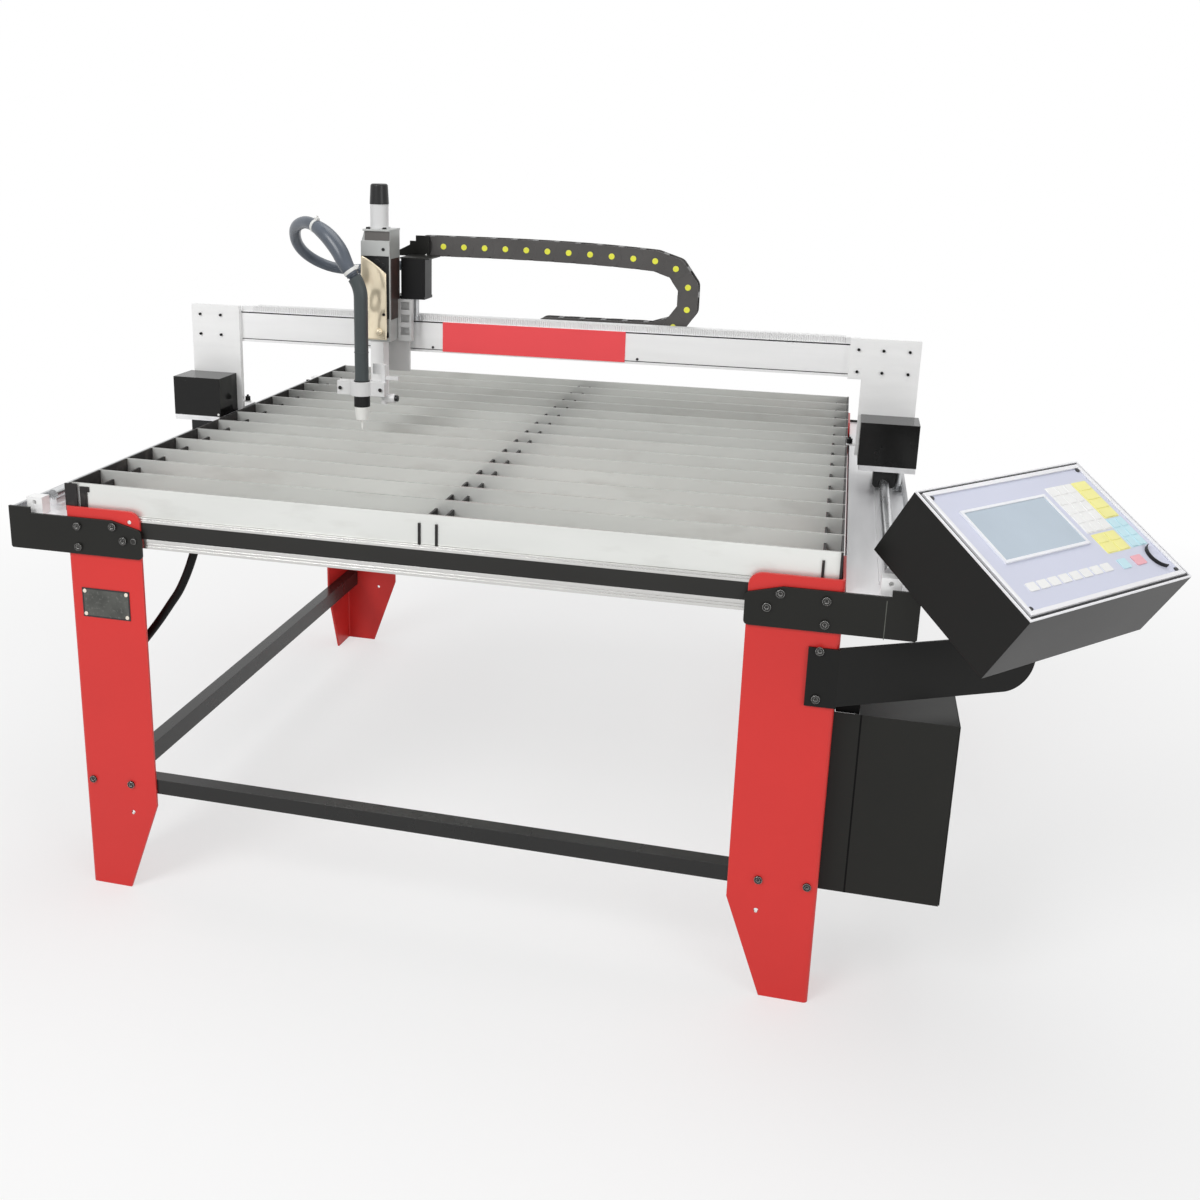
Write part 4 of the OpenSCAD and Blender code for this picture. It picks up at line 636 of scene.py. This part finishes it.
PANEL_W, PANEL_H, PANEL_T, RIM_W, RIM_T = 400.0, 264.0, 2.0, 9.0, 5.0
PANEL_AT, PANEL_YAW, PANEL_TILT = (953, -164, 799), 47, -58.5
FACE = -PANEL_T
panel = (TABLE @ Matrix.Translation(PANEL_AT) @ Matrix.Rotation(math.radians(PANEL_YAW), 4, "Z")
         @ Matrix.Rotation(math.radians(PANEL_TILT), 4, "X"))


def across(u0, u1):
    """Two shares of the panel's width, in millimetres."""
    return u0 * PANEL_W, u1 * PANEL_W


def upslope(v0, v1):
    """Two shares of the panel's height, in millimetres."""
    return v0 * PANEL_H, v1 * PANEL_H


PAD_ROUND, PAD_STEPS = 2.0, 4


def pad(bm, u, v, height, slot):
    """A pad with round corners on the panel, between shares of its width and height."""
    (x0, x1), (z0, z1) = across(*u), upslope(*v)
    r = PAD_ROUND
    corners = ((x1 - r, z1 - r, 0), (x0 + r, z1 - r, 90), (x0 + r, z0 + r, 180), (x1 - r, z0 + r, 270))
    outline = [p for cx, cz, start in corners for p in arc((cx, cz), r, start, start + 90, PAD_STEPS)]
    prism(bm, outline, FACE - height, FACE, panel, slot)


KEY_T, SHEET_T, KEY_GAP = 1.5, 0.5, 0.006
WHITE, YELLOW, CYAN, PINK = range(4)
KEY_BLOCKS = [
    ((0.668, 0.836), (0.455, 0.838), 3, 5, WHITE), ((0.840, 0.936), (0.530, 0.838), 1, 4, YELLOW),
    ((0.836, 0.940), (0.290, 0.524), 2, 3, CYAN), ((0.676, 0.826), (0.288, 0.440), 2, 2, YELLOW),
    ((0.115, 0.629), (0.168, 0.238), 8, 1, WHITE), ((0.676, 0.740), (0.158, 0.240), 1, 1, CYAN),
    ((0.766, 0.840), (0.158, 0.240), 1, 1, PINK),
]


def build_keys(bm):
    """Each block of keys, on a thin sheet of its own where it has several rows."""
    for u, v, columns, rows, colour in KEY_BLOCKS:
        du, dv = (u[1] - u[0]) / columns, (v[1] - v[0]) / rows
        if rows > 1:
            pad(bm, u, v, SHEET_T, colour)
        for i in range(columns):
            for j in range(rows):
                key_u = (u[0] + i * du + KEY_GAP, u[0] + (i + 1) * du - KEY_GAP)
                key_v = (v[0] + j * dv + KEY_GAP, v[0] + (j + 1) * dv - KEY_GAP)
                pad(bm, key_u, key_v, KEY_T, colour)


key_finishes = [key_white, key_yellow, key_cyan, key_pink]
keys = new_piece("panel_keys_look", build_keys, key_finishes, "table")
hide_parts("panel_keys")

SCREEN_U, SCREEN_V, BEZEL_W, BEZEL_T, PANE_T = (0.117, 0.627), (0.383, 0.792), 5.0, 4.0, 2.5


def build_screen(bm):
    """A raised bezel of four bars, and the pane set back inside it."""
    x, z = across(*SCREEN_U), upslope(*SCREEN_V)
    rim(bm, x, z, BEZEL_W, (FACE - BEZEL_T, FACE), panel, edge=0.5)
    pane_x, pane_z = [(side[0] + BEZEL_W, side[1] - BEZEL_W) for side in (x, z)]
    block(bm, pane_x, (FACE - PANE_T, FACE), pane_z, panel, slot=1)


screen = new_piece("panel_screen_look", build_screen, [bezel, glass], "table")
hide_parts("panel_screen")

LIP_W, GAP_SHADE_W, BAND_W, LIP_T, GAP_SHADE_T = 3.0, 4.8, 7.6, 3.2, 0.8


def build_panel_frame(bm):
    """An outer lip, a dark sunk band beside it that paints the shade of the gap, and the raised band that
    holds the panel.
    """
    def step(inset, width, y, slot=0, edge=0.0):
        rim(bm, (inset, PANEL_W - inset), (inset, PANEL_H - inset), width, y, panel, slot, edge)
    step(0, LIP_W, (-LIP_T, 0), edge=0.5)
    step(LIP_W, GAP_SHADE_W, (-GAP_SHADE_T, 0), slot=1)
    step(LIP_W + GAP_SHADE_W, BAND_W, (-RIM_T, FACE), edge=0.9)
    step(LIP_W + GAP_SHADE_W, RIM_W - LIP_W - GAP_SHADE_W, (FACE, 0))


panel_frame = new_piece("panel_frame_look", build_panel_frame, [frame_bright, dark_trim_and_shade], "table")
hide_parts("panel_frame")

SCREW_INSET, SCREW_R, SCREW_H = 19.5, 3.6, 2.2
panel_corners = corners_of((0, PANEL_W), FACE, (0, PANEL_H), SCREW_INSET)
heads("panel_screws", panel_corners, SCREW_R, SCREW_H, dark_trim_and_shade, "table", panel)


# Lifter: thin cover, screws and trim

LIFT_X, LIFT_Y, LIFT_TOP = (-366, -300), 662, 1198
COVER_X, COVER_Z, COVER_T, COVER_PROUD = (-366, -308), (1016, 1198), 1.5, 0.6
COVER_CUT, CUT_CURVE, WAVE = 38, 1.3, 1.7
KNOB_X, KNOB_Z, KNOB_R, KNOB_L, KNOB_SUNK = -325, 1034, 7, 7, 1
KNOB_SCREW_R, KNOB_SCREW_H = 4.5, 2.5


def cover_point(s, t, depth):
    """A point of the thin cover, by shares of its width and height, with the sheet's own waves."""
    x = COVER_X[0] + s * (COVER_X[1] - COVER_X[0])
    top = COVER_Z[1] - COVER_CUT * s ** CUT_CURVE
    z = COVER_Z[0] + t * (top - COVER_Z[0])
    wave = math.sin(5.2 * s + 7.0 * t) + 0.7 * math.sin(9.0 * s - 11.0 * t + 1.0)
    pinned = math.sin(math.pi * t) ** 0.5
    return at(x, LIFT_Y - COVER_PROUD + WAVE * wave * pinned + depth, z)


def build_cover(bm):
    """The waved sheet, and the knob on it with its screw."""
    columns, rows = 18, 44
    sheets = []
    for depth in (0, COVER_T):
        sheets.append([[bm.verts.new(cover_point(i / columns, j / rows, depth)) for j in range(rows + 1)]
                       for i in range(columns + 1)])
    for sheet in sheets:
        for i in range(columns):
            for j in range(rows):
                bm.faces.new((sheet[i][j], sheet[i + 1][j], sheet[i + 1][j + 1], sheet[i][j + 1]))
    front, back = sheets
    border = [(i, 0) for i in range(columns)] + [(columns, j) for j in range(rows)]
    border += [(i, rows) for i in range(columns, 0, -1)] + [(0, j) for j in range(rows, 0, -1)]
    for (i, j), (k, m) in zip(border, border[1:] + border[:1]):
        bm.faces.new((front[i][j], front[k][m], back[k][m], back[i][j]))
    bmesh.ops.recalc_face_normals(bm, faces=bm.faces[:])
    knob_y = LIFT_Y + KNOB_SUNK
    disc(bm, (KNOB_X, knob_y, KNOB_Z), TO_FRONT, KNOB_R, KNOB_L)
    disc(bm, (KNOB_X, knob_y - KNOB_L, KNOB_Z), TO_FRONT, KNOB_SCREW_R, KNOB_SCREW_H)


cover = new_piece("lifter_cover_look", build_cover, [gold], "carriage", smooth=True)
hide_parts("lifter_cover")

# Place, direction, radius and height of each black screw
LIFTER_SCREWS = [
    ((-314.5, LIFT_Y, 1212.5), TO_FRONT, 3.6, 2),
    ((-352, 670, 1255), UPWARD, 4.5, 4),
    ((-314, 670, 1255), UPWARD, 4.5, 4),
    ((COVER_X[0] + 6, LIFT_Y, 1072), TO_FRONT, 3.4, 3.4),
    ((COVER_X[1] - 6, LIFT_Y, 1072), TO_FRONT, 3.4, 3.4),
]
INSIDE_Y, INSIDE_TOP, ROUND_H = LIFT_Y + 2.6, LIFT_TOP - 0.5, 2
# Black sheets that paint the shade inside the lifter, behind and beside the cut corner of the cover
INSIDE_SHADE_SHEETS = [
    ((COVER_X[0] + 1, COVER_X[1]), (INSIDE_Y, LIFT_Y + 3.4), (1100, INSIDE_TOP)),
    ((COVER_X[1], LIFT_X[1] - 2.6), (INSIDE_Y, LIFT_Y + 3), (1062, INSIDE_TOP)),
]
# Along X and Z, with the radius
INSIDE_ROUNDS = [(-330, 1186, 6), (-316, 1178, 5), (-312, 1160, 4)]


def build_lifter_dark(bm):
    """Black screws, and black sheets and rounds in the opening that the cut corner of the cover leaves, the
    sheets painting the shade inside.
    """
    for screw in LIFTER_SCREWS:
        disc(bm, *screw)
    for sheet in INSIDE_SHADE_SHEETS:
        block(bm, *sheet)
    for x, z, radius in INSIDE_ROUNDS:
        disc(bm, (x, INSIDE_Y, z), TO_FRONT, radius, ROUND_H)


new_piece("lifter_screws_and_shade", build_lifter_dark, [plastic], "carriage")

# The grey band across the head paints the shade of a face turned away from the light
HEAD_SHADE_BAND = ((LIFT_X[0] + 8, LIFT_X[1] - 1), (LIFT_Y + 3.2, LIFT_Y + 4), (1231, 1250))
# The dark brown sheet on the lifter's right side is partly its own brown parts and partly painted shade
SIDE_SHADE_SHEET = ((LIFT_X[1], LIFT_X[1] + 0.8), (LIFT_Y + 8, LIFT_Y + 60), (1060, 1192))
boxes("lifter_shade_band", [HEAD_SHADE_BAND], band_shade_grey, "carriage")
boxes("lifter_side_shade_sheet", [SIDE_SHADE_SHEET], brown_and_shade, "carriage", edge=0.2)


# Beam, with small screws of the gantry and the carriage

BEAM_Y, BEAM_ENDS, GROOVES_Z = 755, (-700, 700), ((1046.2, 1048.8), (985.2, 986.8))
GROOVE_SHADE_Y = (BEAM_Y + 0.5, BEAM_Y + 1.2)
BOARD_SCREWS = [(x, BEAM_Y, 991) for x in (-231, 235)]
BOARD_SCREW_R, BOARD_SCREW_H = 3, 1.5


def build_beam_trim(bm):
    """Dark strips in the two grooves of the beam, which paint the shade in them, and the screws beside the
    board.
    """
    for z in GROOVES_Z:
        block(bm, BEAM_ENDS, GROOVE_SHADE_Y, z)
    for place in BOARD_SCREWS:
        disc(bm, place, TO_FRONT, BOARD_SCREW_R, BOARD_SCREW_H)


new_piece("beam_trim", build_beam_trim, [dark_trim_and_shade], "gantry")

# Plain blocks close the two ends of the cross rack
RACK_END, RACK_Y, RACK_Z = 670, (757, 764.7), (1050, 1063)
rack_ends = [(x, RACK_Y, RACK_Z) for x in ((BEAM_ENDS[0], -RACK_END), (RACK_END, BEAM_ENDS[1]))]
boxes("rack_end_blocks", rack_ends, rack_pale, "gantry", edge=0.8)

MOTOR_COVER_SCREW, CHAIN_END_SCREW = (-719, 655, 821), (-262.5, 800, 1191)
heads("motor_cover_screw", [MOTOR_COVER_SCREW], 2.8, 1.4, pale_metal, "gantry")
heads("chain_end_screw", [CHAIN_END_SCREW], 3, 1.6, pale_metal, "carriage")


# Cabinet

CAB_X, CAB_Y, CAB_Z = (745, 902), (40, 290), (204, 537)
SEAM_X, SEAM_Y = (CAB_X[0] - 1.4, CAB_X[0] + 1.4), (CAB_Y[0] - 0.3, CAB_Y[0] + 0.2)
DARK_BOX = ((703, 742), (46, 134), (CAB_Z[1] - 2, 604))


def build_seam(bm):
    """The dark joint between the cabinet and the channel on the leg, and a dark box above the channel."""
    block(bm, SEAM_X, SEAM_Y, CAB_Z)
    block(bm, *DARK_BOX, edge=1.5)


new_piece("cabinet_seam", build_seam, [seam_black], "table")

DOOR_FACE, DOOR_T = CAB_X[1] + 0.3, 2
DOOR_Y, DOOR_Z = (CAB_Y[0] + 1, CAB_Y[1] - 3), (CAB_Z[0] + 1, CAB_Z[1] - 1)
HINGE_R, HINGE_L, HINGES_Z = 5, 40, (CAB_Z[0] + 60, CAB_Z[1] - 100)
LOCK_R, LOCK_H, LOCK_Y, LOCK_Z = 12, 2, CAB_Y[0] + 22, (CAB_Z[0] + CAB_Z[1]) / 2
INSERT_R, INSERT_H, INSERT_SEAT = 5, 0.5, 1.9


def build_door(bm):
    """The door sheet with two hinge knuckles, and a flat lock with its three-sided insert."""
    block(bm, (DOOR_FACE - DOOR_T, DOOR_FACE), DOOR_Y, DOOR_Z, edge=0.8)
    axis_x, axis_y = CAB_X[1] + HINGE_R, CAB_Y[1] - HINGE_R
    for z in HINGES_Z:
        disc(bm, (axis_x, axis_y, z), UPWARD, HINGE_R, HINGE_L, dome=0.04)
        block(bm, (DOOR_FACE - 0.5, axis_x), (axis_y - HINGE_R, axis_y), (z, z + HINGE_L), edge=0.6)
    disc(bm, (DOOR_FACE, LOCK_Y, LOCK_Z), TO_RIGHT, LOCK_R, LOCK_H, slot=1, dome=0.4)
    disc(bm, (DOOR_FACE + INSERT_SEAT, LOCK_Y, LOCK_Z), TO_RIGHT, INSERT_R, INSERT_H, sides=3)


door = new_piece("cabinet_door_look", build_door, [black, pale_metal], "door")
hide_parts("cabinet_door")


# Comb plate, torch clamp, brackets and legs

# The folded end of the left comb plate and its hook, in front of the first slat
COMB_END = [
    ((-701, -676.5), (5.5, 9), (771, 823)),
    ((-672, -658), (8.5, 11), (779, 818)),
    ((-660, -653), (9, 11), (808, 818)),
]
boxes("comb_end_tab", COMB_END, comb, "table", edge=0.6)

CLAMP_SCREWS = [(-338 + s * 46, 573, 921) for s in (-1, 1)]
CLAMP_SCREW_R, CLAMP_SCREW_H = 4.2, 1.2
GRIP_AT, GRIP_R, GRIP_L = (-267, 600, 900), 7, 7


def build_clamp_dark(bm):
    """Heads of the clamp screws and the grip of the knob."""
    for place in CLAMP_SCREWS:
        disc(bm, place, TO_FRONT, CLAMP_SCREW_R, CLAMP_SCREW_H)
    disc(bm, GRIP_AT, TO_RIGHT, GRIP_R, GRIP_L)


new_piece("clamp_dark_trim", build_clamp_dark, [plastic], "torch")

# The grey line on the right bracket is a painted highlight along an edge
BRACKET_BOLT, BRACKET_HIGHLIGHT = (-559, -5, 727), ((764.4, 765.6), (-5.25, -5), (690, 756))
heads("bracket_small_bolt", [BRACKET_BOLT], 6, 2.6, bolt_steel, "table")
boxes("bracket_edge_highlight", [BRACKET_HIGHLIGHT], edge_highlight_grey, "table")

BADGE_X, BADGE_Z, BADGE_Y = (-676, -578), (568, 625), -1
BADGE_RIM_W, BADGE_RIM_T = 2.4, 0.4
RIVET_INSET, RIVET_R, RIVET_H = 6, 3.8, 1.8


def build_badge_rim(bm):
    rim(bm, BADGE_X, BADGE_Z, BADGE_RIM_W, (BADGE_Y - BADGE_RIM_T, BADGE_Y))


new_piece("leg_plate_rim", build_badge_rim, [dark_trim_and_shade], "table")
badge_corners = corners_of(BADGE_X, BADGE_Y, BADGE_Z, RIVET_INSET)
heads("leg_plate_rivets", badge_corners, RIVET_R, RIVET_H, rivet, "table")

LEG_SCREWS, LEG_SCREW_R, LEG_SCREW_H = [(s * 600, 0, 166) for s in (-1, 1)], 2.6, 1
LEG_PLUG, LEG_PLUG_R, LEG_PLUG_H = (-568, 0, 761), 3.6, 0.8


def build_leg_screws(bm):
    """The small screw low on each front leg, and the pale plug at the top of the left one."""
    for place in LEG_SCREWS:
        disc(bm, place, TO_FRONT, LEG_SCREW_R, LEG_SCREW_H)
    disc(bm, LEG_PLUG, TO_FRONT, LEG_PLUG_R, LEG_PLUG_H)


new_piece("leg_small_screws", build_leg_screws, [pale_metal], "table")


# Floor, backdrop and light

FLOOR_SIZE, WORLD_LIGHT = 14, 0.35
# The floor turns into the white background with distance, and keeps the shadow near the table
FADE = {"From Min": 0.9, "From Max": 3.2, "To Min": 0.55, "To Max": 1.0}


def seen_directly(tree):
    """1 on rays from the eye, a reflection or a clear surface, and 0 on the light that falls on things."""
    rays = tree.nodes.new("ShaderNodeLightPath")
    seen = rays.outputs["Is Camera Ray"]
    for name in ("Is Glossy Ray", "Is Transmission Ray"):
        larger = tree.nodes.new("ShaderNodeMath")
        larger.operation = "MAXIMUM"
        tree.links.new(seen, larger.inputs[0])
        tree.links.new(rays.outputs[name], larger.inputs[1])
        seen = larger.outputs["Value"]
    return seen


floor_mat = surface("floor_pale", (0.86, 0.86, 0.86), 0.8, specular=0.2, tint=0.01, patch=0.5, grain=60,
                    bump=0.01)
floor_tree = floor_mat.node_tree
join = floor_tree.links.new
glow = floor_tree.nodes.new("ShaderNodeEmission")
away = floor_tree.nodes.new("ShaderNodeVectorMath")
away.operation = "LENGTH"
join(floor_tree.nodes["Texture Coordinate"].outputs["Object"], away.inputs[0])
fade = floor_tree.nodes.new("ShaderNodeMapRange")
for socket, value in FADE.items():
    fade.inputs[socket].default_value = value
join(away.outputs["Value"], fade.inputs["Value"])
share = floor_tree.nodes.new("ShaderNodeMath")
share.operation = "MULTIPLY"
join(fade.outputs["Result"], share.inputs[0])
join(seen_directly(floor_tree), share.inputs[1])
both = floor_tree.nodes.new("ShaderNodeMixShader")
join(share.outputs["Value"], both.inputs[0])
join(floor_tree.nodes["Principled BSDF"].outputs["BSDF"], both.inputs[1])
join(glow.outputs["Emission"], both.inputs[2])
join(both.outputs["Shader"], floor_tree.nodes["Material Output"].inputs["Surface"])


def build_floor(bm):
    bmesh.ops.create_grid(bm, x_segments=1, y_segments=1, size=FLOOR_SIZE)


new_piece("floor", build_floor, [floor_mat])

world = bpy.data.worlds.new("studio")
bpy.context.scene.world = world
world.use_nodes = True
world_tree = world.node_tree
background = world_tree.nodes["Background"]
background.inputs["Color"].default_value = (1, 1, 1, 1)
strength = world_tree.nodes.new("ShaderNodeMapRange")
strength.inputs["To Min"].default_value = WORLD_LIGHT
strength.inputs["To Max"].default_value = 1.0
world_tree.links.new(seen_directly(world_tree), strength.inputs["Value"])
world_tree.links.new(strength.outputs["Result"], background.inputs["Strength"])


def lamp(name, where, aim, size, watts):
    """A round lamp that looks at its aim. Places and size are metres."""
    light = bpy.data.lights.new(name, "AREA")
    light.shape = "DISK"
    light.size = size
    light.energy = watts
    thing = bpy.data.objects.new(name, light)
    thing.location = where
    thing.rotation_euler = (Vector(aim) - Vector(where)).to_track_quat("-Z", "Y").to_euler()
    bpy.context.collection.objects.link(thing)


lamp("key", (-2.2, -4.2, 3.8), (0, 0, 0.7), 2.6, 130)
lamp("fill", (3.8, -3.4, 2.2), (0.2, 0, 0.6), 2.6, 50)
lamp("top", (0.2, 0.6, 4.2), (0, 0, 0.7), 3.2, 55)
